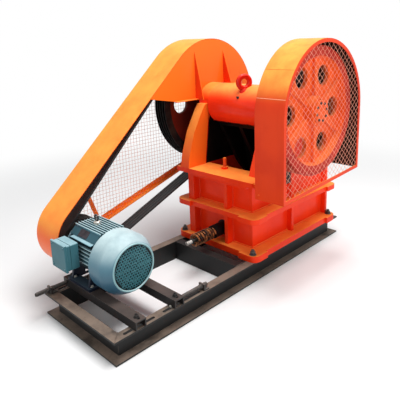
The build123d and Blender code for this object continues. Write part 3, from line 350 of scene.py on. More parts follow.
def frame_paint():
    """Orange castings; painted black as painted shade between the walls beyond the ledge, and black with grease
    round the spring's seat.
    """
    made = paint("cast_paint", cast_orange, cast_deep, orange_dust_and_skylight, gloss=0.36, cast=0.5, edge=0.004)
    x = made.along("X")
    y = made.along("Y")
    z = made.along("Z")
    wall_x = 219 * MM
    seat_radius = 70 * MM
    # painted shade: inner faces between the walls, beyond a line past the ledge, are laid black
    inner = 1 - (x * x).between((wall_x - 0.5 * MM) ** 2, (wall_x + 0.5 * MM) ** 2)
    line = shaft_y - 178 * MM + (z - ledge_top) * 0.13 + made.noise(30.0) * 0.006
    shaded_beyond_ledge = (y - line).between(0.0, 4 * MM) * z.between(ledge_top + 1 * MM, ledge_top + 3 * MM)
    shade_and_grease = made.shade_and_grease_black()
    made.cover(inner * shaded_beyond_ledge, shade_and_grease)
    drop = z - rod_z
    spread = (x * x + drop * drop) ** 0.5 + made.noise(22.0, 4.0) * 0.03
    made.cover(1 - spread.between(seat_radius - 4 * MM, seat_radius + 4 * MM), shade_and_grease)
    return made


sheet_paint = paint(
    "sheet_paint", orange, orange_deep, orange_dust_and_skylight, dust=0.92, worn=0.3, rise=(0.2, 0.6), side=0.85
)
# painted light: the belt guard's rim is a lighter orange than its plate, with the pale up-facing tint reaching
# nearly down to upright faces
belt_rim_paint = paint(
    "belt_rim_paint", srgb(244, 106, 34), srgb(238, 84, 26), orange_dust_and_skylight, dust=0.92, worn=0.3, rise=(0.0, 0.5)
)
slope_paint = paint(
    "slope_paint", srgb(240, 84, 26), srgb(226, 62, 18), orange_dust_and_skylight, cast=0.4, rise=(0.1, 0.6), side=0.7
)
housing_paint = paint("housing_paint", cast_orange, cast_deep, orange_dust_and_skylight, cast=0.4, rise=(0.2, 0.8))
# painted highlight: the pale line along the flywheel guard's bend
bend_highlight_paint = paint("bend_highlight_paint", srgb(255, 182, 146), srgb(250, 150, 110), srgb(255, 204, 166), worn=0.2)
wheel_guard_paint = guard_paint()
cast_paint = frame_paint()
teal = srgb(86, 136, 152)
teal_deep = srgb(56, 104, 124)
# the tint for up-facing teal: partly dust, partly painted skylight
teal_dust_and_skylight = srgb(172, 206, 214)
teal_film = {"worn": 0.25, "edge": 0.0015}
motor_enamel = paint(
    "motor_enamel", teal, teal_deep, teal_dust_and_skylight, gloss=0.34, coat=0.2, cast=0.25, sheen=0.4, **teal_film
)
box_enamel = paint("box_enamel", srgb(62, 108, 118), srgb(42, 84, 94), teal_dust_and_skylight, gloss=0.4, **teal_film)
grille_enamel = paint(
    "grille_enamel", srgb(66, 120, 128), srgb(44, 92, 102), srgb(90, 136, 142), cast=0.2, edge=0.0008
)
panel_enamel = paint("panel_enamel", srgb(40, 74, 86), srgb(26, 54, 66), srgb(66, 104, 114), cast=0.2)
lip_enamel = paint(
    "lip_enamel", srgb(150, 188, 192), srgb(120, 162, 170), srgb(196, 220, 222), cast=0.2, edge=0.0008
)
# painted shade: near-black for the disc behind the cowl's grille
mouth_shade = paint("mouth_shade", srgb(14, 27, 32), srgb(7, 15, 19), srgb(26, 44, 50), cast=0.2)
feet_enamel = paint("feet_enamel", srgb(30, 38, 54), srgb(18, 22, 34), srgb(70, 86, 98), cast=0.3)


def finned_enamel():
    """The barrel: dark gaps between the fins as painted shade, and pale fin edges as painted highlights."""
    made = paint(
        "finned_enamel", teal, teal_deep, teal_dust_and_skylight, gloss=0.38, coat=0.15, cast=0.3, sheen=0.4, **teal_film
    )
    aside = made.along("Y") - motor_y
    rise = (made.along("Z") - motor_z) / fin_top
    reach = rise.above((aside * aside) ** 0.5 / fin_side)
    # painted shade: the gaps between the fins, near the barrel, are laid near-black
    made.cover((1 - reach.between(0.86, 0.975)) * 0.94, srgb(15, 24, 31))
    # painted highlight: a pale band along the fins' outer edges
    made.cover(reach.between(0.975, 0.99) * 0.8, srgb(186, 214, 218))
    return made


def cowl_enamel():
    """The cowl: pale above, partly dust and partly painted skylight, and deeper blue down its lower half as
    painted shade.
    """
    made = paint(
        "cowl_enamel", srgb(84, 132, 148), srgb(60, 104, 124), srgb(208, 228, 229),
        gloss=0.36, coat=0.2, cast=0.4, worn=0.2, edge=0.0015, sheen=0.35, rise=(0.1, 0.9)
    )
    level = made.along("Z") + made.noise(4.0) * 0.08
    # painted shade: the lower half is laid deeper blue
    under = 1 - level.between(motor_z - 50 * MM, motor_z + 130 * MM)
    made.cover(under * 0.85, srgb(44, 86, 110))
    return made


motor_fins = finned_enamel()
cowl_paint = cowl_enamel()
mill_steel = rolled_steel("mill_steel", srgb(13, 14, 15), srgb(138, 120, 106), srgb(66, 42, 32), top=0.9)
beam_steel = rolled_steel("beam_steel", srgb(13, 13, 14), srgb(44, 38, 35), srgb(38, 26, 22), top=0.7)
slide_steel = rolled_steel("slide_steel", srgb(30, 27, 27), srgb(92, 78, 72), srgb(70, 42, 30), top=0.7)
fastener_steel = rolled_steel(
    "fastener_steel", srgb(44, 40, 40), srgb(120, 112, 106), srgb(92, 58, 38), rough=0.42
)
bright_steel = machined("bright_steel", srgb(190, 188, 184), srgb(120, 104, 90), turned=True)
bare_plate = machined("bare_plate", srgb(58, 53, 58), srgb(34, 28, 32), rough=0.5, metal=0.4)
worn_manganese = machined("worn_manganese", srgb(96, 90, 86), srgb(70, 50, 38), rough=0.5, metal=0.8)
wire_finish = machined("wire_finish", srgb(246, 176, 150), srgb(220, 128, 96), rough=0.42, metal=0.1)
plated_steel = machined("plated_steel", srgb(206, 204, 196), srgb(140, 128, 112), rough=0.3, metal=0.6)


def jaw_paint():
    """Red-orange barrel over a body painted black below a line, as painted shade."""
    made = paint(
        "jaw_paint", srgb(250, 60, 24), srgb(234, 40, 14), srgb(255, 172, 84), gloss=0.26, coat=0.2, worn=0.25
    )
    # painted shade: below this line the body is laid black
    shade_line = shaft_z - 108 * MM
    film = made.along("Z") + made.noise(18.0, 4.0) * 0.03
    made.cover(1 - film.between(shade_line, shade_line + 12 * MM), made.shade_and_grease_black())
    return made


def pulley_finish():
    """Black grooved rim round a dark red web."""
    made = paint("pulley_finish", srgb(112, 30, 18), srgb(36, 11, 9), srgb(104, 60, 44), gloss=0.45)
    rim = made.from_shaft().between(356 * MM, 360 * MM)
    made.cover(rim, made.mottled(30.0, srgb(8, 7, 8), srgb(26, 22, 21)))
    return made


def wheel_finish():
    """Bright orange web and hub inside a deep red rim; the rim's deeper red is painted shade."""
    made = paint("wheel_finish", srgb(244, 98, 34), srgb(222, 70, 24), srgb(250, 150, 82), cast=0.6, edge=0.004)
    radius = high("flywheel").z - shaft_z
    rim = made.from_shaft().between(radius - 64 * MM, radius - 58 * MM)
    # painted shade: the rim is laid a deeper red than the web
    made.cover(rim, made.mottled(6.0, srgb(206, 50, 28), srgb(172, 28, 20), 4.0))
    return made


def cast_black():
    """Sand-cast iron under thin black paint."""
    made = Finish("cast_black")
    rounded = made.rounded(0.002)
    sand = made.noise(140.0, 4.0, 0.6)
    made.wire_up(
        Base_Color=made.mottled(12.0, srgb(24, 23, 24), srgb(52, 46, 42)),
        Metallic=0.3,
        Roughness=0.5 + sand * 0.15,
        Normal=made.relief(sand, 0.3, 0.001, rounded),
    )
    return made


def belt_rubber():
    """Black rubber with a woven cover and chalky dust from running."""
    made = Finish("belt_rubber")
    weave = made.noise(700.0, 2.0, 0.5, (0.3, 1.0, 1.0))
    dust = made.noise(11.0, 5.0, 0.65).between(0.45, 0.75)
    made.wire_up(
        Base_Color=made.mix(dust * 0.4, srgb(22, 22, 24), srgb(66, 64, 64)),
        Roughness=0.62 + dust * 0.2,
        Normal=made.relief(weave, 0.3, 0.0008),
    )
    return made


def spring_finish():
    """Black oiled wire, rubbed coppery where it has rust and wear."""
    made = Finish("spring_finish")
    rub = made.noise(30.0, 4.0, 0.6).between(0.4, 0.6)
    made.wire_up(
        Base_Color=made.mix(rub, srgb(30, 22, 20), srgb(150, 92, 52)),
        Metallic=0.75,
        Roughness=0.3 + rub * 0.2,
        Normal=made.relief(made.noise(200.0), 0.25, 0.0006),
    )
    return made


jaw_finish = jaw_paint()
eye_red = paint(
    "eye_red", srgb(216, 30, 14), srgb(190, 18, 10), srgb(236, 74, 44), gloss=0.26, coat=0.2, worn=0.2
)
pulley = pulley_finish()
wheel = wheel_finish()
black_casting = cast_black()
rubber = belt_rubber()
spring_wire = spring_finish()

finish_of = {
    belt_rim_paint: "belt_guard_rim",
    sheet_paint: "belt_guard_plate belt_guard_lower_bar belt_guard_bracket flywheel_guard_bracket",
    wheel_guard_paint: "flywheel_guard_rim flywheel_guard_plate",
    cast_paint: "left_side_wall right_side_wall rear_wall front_wall left_bearing_housing "
                "right_bearing_housing adjusting_stud toggle_seat",
    jaw_finish: "swing_jaw lifting_eye",
    wheel: "flywheel",
    pulley: "grooved_pulley",
    motor_enamel: "motor_end_shield",
    box_enamel: "terminal_box",
    cowl_paint: "fan_cowl",
    motor_fins: "motor_housing",
    feet_enamel: "motor_feet",
    mill_steel: "base_rail_left base_rail_right base_end_front base_end_rear",
    beam_steel: "base_cross_beam",
    slide_steel: "motor_slide_front motor_slide_rear",
    fastener_steel: "tension_screw_left tension_screw_right toggle_plate",
    bright_steel: "eccentric_shaft motor_shaft",
    worn_manganese: "fixed_jaw_plate swing_jaw_plate left_cheek_plate right_cheek_plate",
    black_casting: "motor_pulley tension_rod",
    rubber: "v_belts",
    spring_wire: "tension_spring",
    wire_finish: "belt_guard_mesh flywheel_guard_mesh",
}
for finish, names in finish_of.items():
    for name in names.split():
        mesh = nodes[name].data
        mesh.materials.clear()
        mesh.materials.append(finish.material)


# Forms in metal
class Metal:
    """Metal worked up from turned, rolled and cut forms, then set down as one piece."""

    def __init__(self):
        self.mesh = bmesh.new()

    def stack(self, rings):
        """Skins a run of rings that have the same number of points, and closes both ends."""
        rows = [[self.mesh.verts.new(point) for point in ring] for ring in rings]
        count = len(rows[0])
        for lower, upper in zip(rows, rows[1:]):
            for k in range(count):
                after = (k + 1) % count
                self.mesh.faces.new((lower[k], lower[after], upper[after], upper[k]))
        self.mesh.faces.new(rows[0][::-1])
        self.mesh.faces.new(rows[-1])
        return self

    def turned(self, profile, foot, axis, sides=28, start=0.0):
        """Rings of (radius, height) about an axis that starts at foot."""
        turn = axis.to_track_quat("Z", "Y").to_matrix()
        rings = []
        for radius, rise in profile:
            angles = [start + 2 * math.pi * k / sides for k in range(sides)]
            rings.append([Vector(foot) + turn @ polar(radius, angle, rise) for angle in angles])
        return self.stack(rings)

    def hexagon(self, foot, axis, across, height, spin=0.0):
        """Hexagon head or nut with a chamfered crown."""
        radius = across / math.sqrt(3)
        crown = [(radius, 0), (radius, height * 0.82), (radius * 0.86, height)]
        return self.turned(crown, foot, axis, 6, spin)

    def washer(self, foot, axis, radius, thickness):
        chamfer = thickness * 0.25
        flat = radius - chamfer
        rim = [(flat, 0), (radius, chamfer), (radius, thickness - chamfer), (flat, thickness)]
        return self.turned(rim, foot, axis)

    def threaded(self, foot, axis, radius, length, pitch):
        """A real helical thread, ending in a chamfer."""
        turn = axis.to_track_quat("Z", "Y").to_matrix()
        sides = 18
        steps = 6
        count = max(2, int(length / pitch * steps))
        depth = pitch * 0.42
        rings = []
        for row in range(count + 1):
            rise = length * row / count
            fade = min(1.0, (length - rise) / (pitch * 1.2))
            ring = []
            for k in range(sides):
                share = k / sides
                phase = (rise / pitch - share) % 1.0
                crest = 1 - abs(2 * phase - 1)
                reach = radius - depth * (1 - crest) - depth * (1 - fade)
                ring.append(Vector(foot) + turn @ polar(reach, 2 * math.pi * share, rise))
            rings.append(ring)
        return self.stack(rings)

    def tube(self, path, radius, sides=8, ripple=0.0):
        """Round wire or weld bead along points; ripple swells it at every other point."""
        points = [Vector(point) for point in path]
        side = None
        rings = []
        for row, point in enumerate(points):
            ahead = points[min(row + 1, len(points) - 1)] - points[max(row - 1, 0)]
            ahead.normalize()
            if side is None:
                side = ahead.orthogonal().normalized()
            else:
                side = (side - ahead * side.dot(ahead)).normalized()
            other = ahead.cross(side)
            reach = radius * (1 + (ripple if row % 2 else -ripple))
            ring = []
            for k in range(sides):
                angle = 2 * math.pi * k / sides
                ring.append(point + (side * math.cos(angle) + other * math.sin(angle)) * reach)
            rings.append(ring)
        return self.stack(rings)

    def ring(self, centre, normal, radius, wire, steps=36, sides=14):
        """A closed ring of round bar about an axis."""
        turn = normal.to_track_quat("Z", "Y").to_matrix()
        rows = []
        for k in range(steps):
            angle = 2 * math.pi * k / steps
            row = []
            for n in range(sides):
                round_bar = 2 * math.pi * n / sides
                point = polar(radius + wire * math.cos(round_bar), angle, wire * math.sin(round_bar))
                row.append(self.mesh.verts.new(centre + turn @ point))
            rows.append(row)
        for k, row in enumerate(rows):
            after = rows[(k + 1) % steps]
            for n in range(sides):
                beside = (n + 1) % sides
                self.mesh.faces.new((row[n], after[n], after[beside], row[beside]))
        return self

    def slab(self, corner, opposite, chamfer=1.0 * MM):
        """A block with chamfered top and bottom edges along its thinnest side."""
        a = Vector(map(min, corner, opposite))
        b = Vector(map(max, corner, opposite))
        size = b - a
        thin = min(range(3), key=lambda k: size[k])
        u, v = [k for k in range(3) if k != thin]
        rings = []
        for inset, rise in ((chamfer, 0), (0, chamfer), (0, size[thin] - chamfer), (chamfer, size[thin])):
            ring = []
            for pu, pv in ((0, 0), (1, 0), (1, 1), (0, 1)):
                point = a.copy()
                point[u] += inset + pu * (size[u] - 2 * inset)
                point[v] += inset + pv * (size[v] - 2 * inset)
                point[thin] += rise
                ring.append(point)
            rings.append(ring)
        return self.stack(rings)

    def set_down(self, name, finish, slot, body="frame", smooth=35):
        """One object in the scene, riding on its body."""
        bmesh.ops.recalc_face_normals(self.mesh, faces=self.mesh.faces)
        data = bpy.data.meshes.new(name)
        self.mesh.to_mesh(data)
        self.mesh.free()
        data.materials.append(finish.material)
        for face in data.polygons:
            face.use_smooth = True
        data.set_sharp_from_angle(angle=math.radians(smooth))
        piece = add_object(name, data)
        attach(piece, body)
        return piece


def bolt(metal, foot, axis, size, spin=0.0, washer=True, height=0.64):
    """Hexagon bolt of thread diameter size, on a washer; height is its head's share of the size."""
    seat = Vector(foot)
    if washer:
        metal.washer(seat, axis, size * 1.05, size * 0.17)
        seat = seat + axis * size * 0.16
    metal.hexagon(seat, axis, size * 1.55, size * height, spin)


def bolt_circle(metal, centre, axis, radius, size, count, first):
    """Bolts without washers round an axis along X, the first at an angle in degrees."""
    for k in range(count):
        degrees = first + 360 / count * k
        bolt(metal, centre + spoke(degrees, radius), axis, size, math.radians(degrees), washer=False)


def stud_and_nut(metal, foot, size, stand, spin=0.0):
    """Upright stud: washer, nut and the thread that stands proud of it."""
    bolt(metal, foot, Z_AXIS, size, spin, height=0.82)
    metal.threaded(Vector(foot) + Z_AXIS * size * 0.9, Z_AXIS, size / 2, stand, size * 0.15)


# Fasteners
def motor_slide_bolts():
    """Studs that clamp the slide beams in the rails' slots, and the screw seen on the near rail."""
    metal = Metal()
    slot_x = high("base_rail_right").x - 32 * MM
    for slide in ("motor_slide_rear", "motor_slide_front"):
        for side in (-1, 1):
            foot = (side * slot_x, middle(slide).y, slide_top)
            stud_and_nut(metal, foot, 14 * MM, 9 * MM, 0.4 * side)
    metal.set_down("motor_slide_bolts", black_casting, "plain_steel")
    near = Metal()
    near_foot = (306 * MM, middle("motor_slide_front").y - 27 * MM, rail_top)
    bolt(near, near_foot, Z_AXIS, 11 * MM, 0.3)
    near.set_down("near_rail_bolt", plated_steel, "plain_steel")


def motor_foot_bolts():
    metal = Metal()
    inset = 26 * MM
    foot_thickness = 16 * MM
    for x in (low("motor_feet").x + inset, high("motor_feet").x - inset):
        for slide in ("motor_slide_rear", "motor_slide_front"):
            bolt(metal, (x, middle(slide).y, slide_top + foot_thickness), Z_AXIS, 14 * MM, 0.3)
    metal.set_down("motor_foot_bolts", plated_steel, "plain_steel")


def crusher_foot_nuts():
    metal = Metal()
    inset_x = 44 * MM
    for side in (-1, 1):
        for y in (low("left_side_wall").y + 32 * MM, high("left_side_wall").y - 46 * MM):
            foot = (side * (high("right_side_wall").x - inset_x), y, foot_top)
            stud_and_nut(metal, foot, 22 * MM, 15 * MM, 0.2)
    metal.set_down("crusher_foot_nuts", fastener_steel, "plain_steel")


def bearing_cap_bolts():
    metal = Metal()
    bolt_circle(metal, shaft_axis + X_AXIS * 272 * MM, X_AXIS, 147 * MM, 12 * MM, 8, 22.5)
    metal.set_down("right_bearing_bolts", fastener_steel, "plain_steel")


def left_bearing():
    """The boss carries on the barrel's line, with one split between them."""
    metal = Metal()
    profile = mm((110, 0), (139, 0.6), (139, 91), (120, 91.5))
    metal.turned(profile, shaft_axis - X_AXIS * 210 * MM, -X_AXIS, 72)
    sleeve = metal.set_down("left_bearing_boss", housing_paint, "frame_paint")
    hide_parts("left_bearing_housing")
    split = Metal().ring(shaft_axis - X_AXIS * 208 * MM, X_AXIS, 138.4 * MM, 1.6 * MM, 72, 8)
    split.set_down("left_bearing_split", black_casting, "cast_black")


def left_slope():
    """The left wall's sloping edge, carried up to the bearing as the photograph shows it."""
    metal = Metal()
    # along and above the shaft: over the top, down the rear line to the ledge, and along it
    line = mm((-125, 10), (-165, 6), (-192, -30), (-276, -173), (-334, -340), (-342, -412), (-178, -412))
    outer_x = -292 * MM
    inner_x = -217 * MM
    metal.stack([
        [shaft_axis + Vector((x, along, above)) for along, above in line] for x in (outer_x, inner_x)
    ])
    metal.set_down("left_slope_edge", slope_paint, "frame_paint")


def tension_rod():
    """Plain rod through the spring, with a thin nut against its last coil and a pale thread at the tip."""
    metal = Metal()
    tip = low("tension_rod").y
    inner = high("tension_rod").y
    coil = low("tension_spring").y
    shank = coil - 8 * MM
    bar = ((11 * MM, 0), (11 * MM, inner - shank))
    metal.turned(bar, (0, shank, rod_z), Y_AXIS, 24)
    metal.hexagon((0, coil - 1 * MM, rod_z), -Y_AXIS, 34 * MM, 9 * MM, 0.3)
    rod = metal.set_down("spring_rod", black_casting, "plain_steel")
    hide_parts("tension_rod")
    thread = Metal().threaded((0, shank, rod_z), -Y_AXIS, 12 * MM, shank - tip, 3.5 * MM)
    thread.set_down("rod_end_thread", bright_steel, "plain_steel")


def stud_thread():
    metal = Metal()
    foot = middle("adjusting_stud")
    foot.z = ledge_top + 24 * MM
    length = high("adjusting_stud").z - foot.z - 1 * MM
    metal.threaded(foot, Z_AXIS, 12.6 * MM, length, 3.5 * MM)
    metal.set_down("adjusting_stud_thread", cast_paint, "frame_paint")


def barrel_grease_nipple():
    metal = Metal()
    lean = Vector((0, -0.89, 0.454)).normalized()
    throw = 10 * MM
    barrel_radius = 138 * MM
    foot = Vector((54 * MM, shaft_y - throw, shaft_z)) + lean * barrel_radius
    metal.hexagon(foot, lean, 16 * MM, 7 * MM)
    metal.turned(mm((5, 6), (3.6, 12), (4.6, 15), (3, 19)), foot, lean, 14)
    metal.set_down("barrel_grease_nipple", black_casting, "plain_steel", body="jaw")


def barrel_eye():
    """Thick ring on the rear of the barrel's top, by which the jaw is lifted."""
    metal = Metal()
    centre = shaft_axis + Vector((64 * MM, -82 * MM, 159 * MM))
    metal.ring(centre, Vector((0.9, -0.43, 0)), 39 * MM, 18 * MM)
    metal.turned(mm((34, -6), (32, 8), (26, 18), (20, 28)), centre - Z_AXIS * 66 * MM, Z_AXIS)
    eye = metal.set_down("barrel_eye", eye_red, "jaw_paint", body="jaw")
    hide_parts("lifting_eye")


# Motor
def motor_eye_bolt():
    foot = motor_axis + Vector((-190 * MM, 0, fin_top - 4 * MM))
    collar = Metal().turned(mm((19, 0), (19, 14), (16, 18), (9, 21)), foot, Z_AXIS, 24)
    collar.set_down("motor_eye_collar", plated_steel, "plain_steel")
    eye = Metal().ring(foot + Z_AXIS * 39 * MM, Y_AXIS, 16 * MM, 5.5 * MM, 28, 12)
    eye.set_down("motor_eye_bolt", fastener_steel, "plain_steel")


def motor_barrel():
    """Cast barrel with upright fins to a flat top and level fins down both sides."""
    metal = Metal()
    start = low("motor_housing").x
    radius = 124 * MM
    profile = ((118 * MM, 0), (radius, 4 * MM), (radius, cowl_edge - start + 14 * MM))
    metal.turned(profile, (start, motor_y, motor_z), X_AXIS, 64)
    root = 80 * MM
    half = 2.9 * MM
    chamfer = 0.8 * MM
    upright = 9
    pitch = 18.5 * MM
    for k in range(upright):
        y = motor_y + (k - (upright - 1) / 2) * pitch
        metal.slab((fin_start, y - half, motor_z + root), (fin_end, y + half, motor_z + fin_top), chamfer)
    for side in (-1, 1):
        for k in range(5):
            z = motor_z + (76 - 23.5 * k) * MM
            inner = (fin_start, motor_y + side * root, z - half)
            metal.slab(inner, (fin_end, motor_y + side * fin_side, z + half), chamfer)
    barrel = metal.set_down("motor_barrel", motor_fins, "motor_paint")
    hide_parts("motor_housing")


def motor_rating_plate():
    """Blank plate riveted to a sloping panel between the upright fins and the shelf below it."""
    lean = Vector((0, -1, 1)).normalized()
    up = lean.cross(X_AXIS)
    left = fin_start
    right = fin_end - 2 * MM
    panel_middle = motor_axis + Vector(((left + right) / 2, -95 * MM, 133 * MM))

    def block(metal, centre, half_x, half_y, layers):
        """Four-cornered layers of (inset, rise) on the sloping plane."""
        rings = []
        for inset, rise in layers:
            rings.append([
                centre + X_AXIS * (half_x - inset) * a + up * (half_y - inset) * b + lean * rise
                for a, b in ((-1, -1), (1, -1), (1, 1), (-1, 1))
            ])
        metal.stack(rings)

    panel = Metal()
    block(panel, panel_middle, (right - left) / 2, 27 * MM, mm((0, -9), (0, 0)))
    panel.set_down("motor_plate_panel", panel_enamel, "motor_paint")
    shelf_rear = motor_axis + Vector((left + 36 * MM, -137 * MM, 106 * MM))
    shelf_front = motor_axis + Vector((right - 8 * MM, -96 * MM, 112 * MM))
    shelf = Metal().slab(shelf_rear, shelf_front, 1.5 * MM)
    shelf.set_down("motor_shelf", motor_enamel, "motor_paint")
    plate = Metal()
    centre = Vector((-176 * MM, panel_middle.y, panel_middle.z))
    thickness = 1.6 * MM
    block(plate, centre, 44 * MM, 22 * MM, ((0, 0), (0, 1.2 * MM), (0.4 * MM, thickness)))
    for x in (-39 * MM, 39 * MM):
        for rise in (-17 * MM, 17 * MM):
            foot = centre + X_AXIS * x + up * rise + lean * thickness
            plate.turned(mm((2.4, 0), (2.0, 0.9), (0.8, 1.4)), foot, lean, 12)
    plate.set_down("motor_rating_plate", bare_plate, "bright_steel")


def motor_cowl():
    """Spun cowl with a rounded shoulder down to its mouth."""
    metal = Metal()
    length = high("fan_cowl").x - cowl_edge
    foot = motor_axis + X_AXIS * cowl_edge
    # the open edge over the fins, then the shoulder, measured back from the mouth
    edge = mm((130, 16), (168, 16), (169.5, 0), (172, 0.8))
    shoulder = mm((172, 74), (171, 66), (166, 54), (157, 36), (146, 16), (139, 5), (135, 1), (132, 0), (129, 2))
    profile = edge + [(radius, length - back) for radius, back in shoulder]
    metal.turned(profile, foot, X_AXIS, 96)
    cowl = metal.set_down("motor_cowl", cowl_paint, "motor_paint")
    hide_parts("fan_cowl")
    # painted shade: a near-black disc behind the grille stands for the shaded inside of the cowl
    mouth = Metal().turned(mm((128, 0), (128, 2), (30, 2.6)), foot + X_AXIS * (length - 4 * MM), X_AXIS, 72)
    mouth.set_down("cowl_mouth", mouth_shade, "motor_paint")


def terminal_box_lid():
    metal = Metal()
    box_low = low("terminal_box")
    box_high = high("terminal_box")
    skirt = 4 * MM
    inset = 12 * MM
    metal.slab(
        (box_low.x - skirt, box_low.y - 1 * MM, box_low.z - skirt),
        (box_high.x + skirt, box_low.y + 14 * MM, box_high.z + skirt), 3 * MM,
    )
    for x in (box_low.x + inset, box_high.x - inset):
        for z in (box_low.z + inset, box_high.z - inset):
            foot = (x, box_low.y - 0.5 * MM, z)
            metal.turned(mm((6, -2), (6, 2.5), (4.5, 4)), foot, -Y_AXIS, 18)
    metal.set_down("terminal_box_lid", box_enamel, "motor_paint")


def end_shield_details():
    """Radial ribs and corner bolts on the drive-end shield."""
    metal = Metal()
    face = motor_axis + X_AXIS * low("motor_end_shield").x
    bolts = Metal()
    for k in range(8):
        degrees = 22.5 + 45 * k
        side = spoke(degrees + 90, 4 * MM)
        rings = []
        for reach, deep in mm((48, 22), (118, 8)):
            centre = face + X_AXIS * 26 * MM + spoke(degrees, reach)
            rings.append([
                centre + side * a - X_AXIS * deep * b for a, b in ((-1, 0), (1, 0), (1, 1), (-1, 1))
            ])
        metal.stack(rings)
    bolt_circle(bolts, face + X_AXIS * 24 * MM, -X_AXIS, 136 * MM, 10 * MM, 4, 45)
    metal.set_down("end_shield_ribs", motor_enamel, "motor_paint")
    bolts.set_down("end_shield_bolts", fastener_steel, "plain_steel")


def cowl_grille():
    """Fine perforated disc over the fan cowl's mouth, with the pressed star of ribs."""
    radius = 127 * MM
    pitch = 17 * MM
    hole = 6.2 * MM
    depth = 0.8 * MM
    face = motor_axis + X_AXIS * (high("fan_cowl").x + depth)
    metal = Metal()
    row_gap = pitch * math.sqrt(3) / 2
    rows = int(radius / row_gap)
    mesh = metal.mesh
    for row in range(-rows, rows + 1):
        z = row * row_gap
        count = int(radius / pitch) + 1
        for column in range(-count, count + 1):
            y = column * pitch + (pitch / 2 if row % 2 else 0)
            if math.hypot(y, z) > radius - pitch * 0.55:
                continue
            centre = face + Vector((0, y, z))
            outer = [mesh.verts.new(centre + spoke(30 + 60 * k, pitch / math.sqrt(3))) for k in range(6)]
            inner = [mesh.verts.new(centre + spoke(30 + 60 * k, hole)) for k in range(6)]
            back = [mesh.verts.new(v.co - X_AXIS * depth) for v in inner]
            for k in range(6):
                after = (k + 1) % 6
                mesh.faces.new((outer[k], outer[after], inner[after], inner[k]))
                mesh.faces.new((inner[k], inner[after], back[after], back[k]))
    bmesh.ops.remove_doubles(mesh, verts=mesh.verts, dist=0.2 * MM)
    metal.set_down("cowl_grille", grille_enamel, "motor_paint", smooth=30)
    star = Metal()
    rib = 1.6 * MM
    for k in range(8):
        star.tube([face + spoke(45 * k, reach * MM) for reach in (20, 46, 72, 98, 124)], rib)
    star.ring(face, X_AXIS, 22 * MM, rib, 40, 8)
    star.ring(face, X_AXIS, 75 * MM, rib, 48, 8)
    star.set_down("cowl_grille_star", grille_enamel, "motor_paint")
    rim = Metal().ring(face - X_AXIS * 1 * MM, X_AXIS, 129 * MM, 5 * MM, 72, 10)
    rim.set_down("cowl_mouth_rim", lip_enamel, "motor_paint")


# Guards
def woven(metal, x, inside, centre, reach, pitch, wire, turn, spread=math.pi / 4):
    """Wires both ways in a plane, waved over and under each other, kept where inside(y, z) holds."""
    for way in (-1, 1):
        angle = turn + way * spread
        along = (math.cos(angle), math.sin(angle))
        across = (-along[1], along[0])
        count = int(reach / pitch)
        for k in range(-count, count + 1):
            inner = []
            for n in range(-2 * count, 2 * count + 1):
                share = n * pitch / 2
                y = centre[0] + along[0] * share + across[0] * k * pitch
                z = centre[1] + along[1] * share + across[1] * k * pitch
                if inside(y, z):
                    sway = 0 if n % 2 else wire * 0.55 * way * (1 if (n // 2 + k) % 2 else -1)
                    inner.append((x + sway, y, z))
            if len(inner) > 1:
                metal.tube(inner, wire / 2, 6)


def flywheel_mesh():
    """Diamond mesh on the flywheel guard's outer side, arched above and with a sloping foot."""
    mesh_high = high("flywheel_guard_mesh")
    mesh_low = low("flywheel_guard_mesh")
    radius = (mesh_high.y - mesh_low.y) / 2
    centre_y = (mesh_high.y + mesh_low.y) / 2
    rise = 36 * MM / (2 * radius)

    def inside(y, z):
        if z < mesh_low.z + (y - mesh_low.y) * rise or abs(y - centre_y) > radius:
            return False
        return z < shaft_z or math.hypot(y - centre_y, z - shaft_z) < radius

    metal = Metal()
    plane_x = mesh_high.x - 1.5 * MM
    woven(metal, plane_x, inside, (centre_y, shaft_z), radius * 1.75, 31 * MM, 1.9 * MM, 0.0, math.radians(41))
    mesh = metal.set_down("flywheel_wire_mesh", wire_finish, "mesh_wire")
    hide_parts("flywheel_guard_mesh")


def belt_mesh():
    """Square mesh inside the belt guard's teardrop, cut off along the lower bar's slope."""
    mesh_low = low("belt_guard_mesh")
    mesh_high = high("belt_guard_mesh")
    big = mesh_high.z - shaft_z
    small_y = motor_y + 26 * MM
    small_z = motor_z + 48 * MM
    small = small_y - mesh_low.y
    run = Vector((small_y - shaft_y, small_z - shaft_z))
    length = run.length
    along = run / length
    across = Vector((along.y, -along.x))
    sine = (big - small) / length
    slope = 0.292
    foot = spoke(44, small)
    low_y = small_y - foot.y
    low_z = small_z - foot.z

    def inside(y, z):
        if z < low_z + slope * (y - low_y):
            return False
        point = Vector((y - shaft_y, z - shaft_z))
        if point.length < big:
            return True
        if y > shaft_y:
            return y < shaft_y + big and z < shaft_z
        if math.hypot(y - small_y, z - small_z) < small:
            return True
        reach = point.dot(along)
        limit = (big - reach * sine) / math.sqrt(1 - sine * sine)
        return 0 < reach < length and point.dot(across) < limit

    metal = Metal()
    plane_x = mesh_low.x + 1.5 * MM
    woven(metal, plane_x, inside, (base_y, 0.7), 1.5, 25 * MM, 2.0 * MM, math.radians(45))
    mesh = metal.set_down("belt_wire_mesh", wire_finish, "mesh_wire")
    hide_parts("belt_guard_mesh")


def bead(metal, start, end, radius=3.5 * MM):
    """Weld bead with a ripple every 5 mm."""
    start = Vector(start)
    end = Vector(end)
    count = max(4, int((end - start).length / (5 * MM)))
    metal.tube([start + (end - start) * k / count for k in range(count + 1)], radius, ripple=0.14)


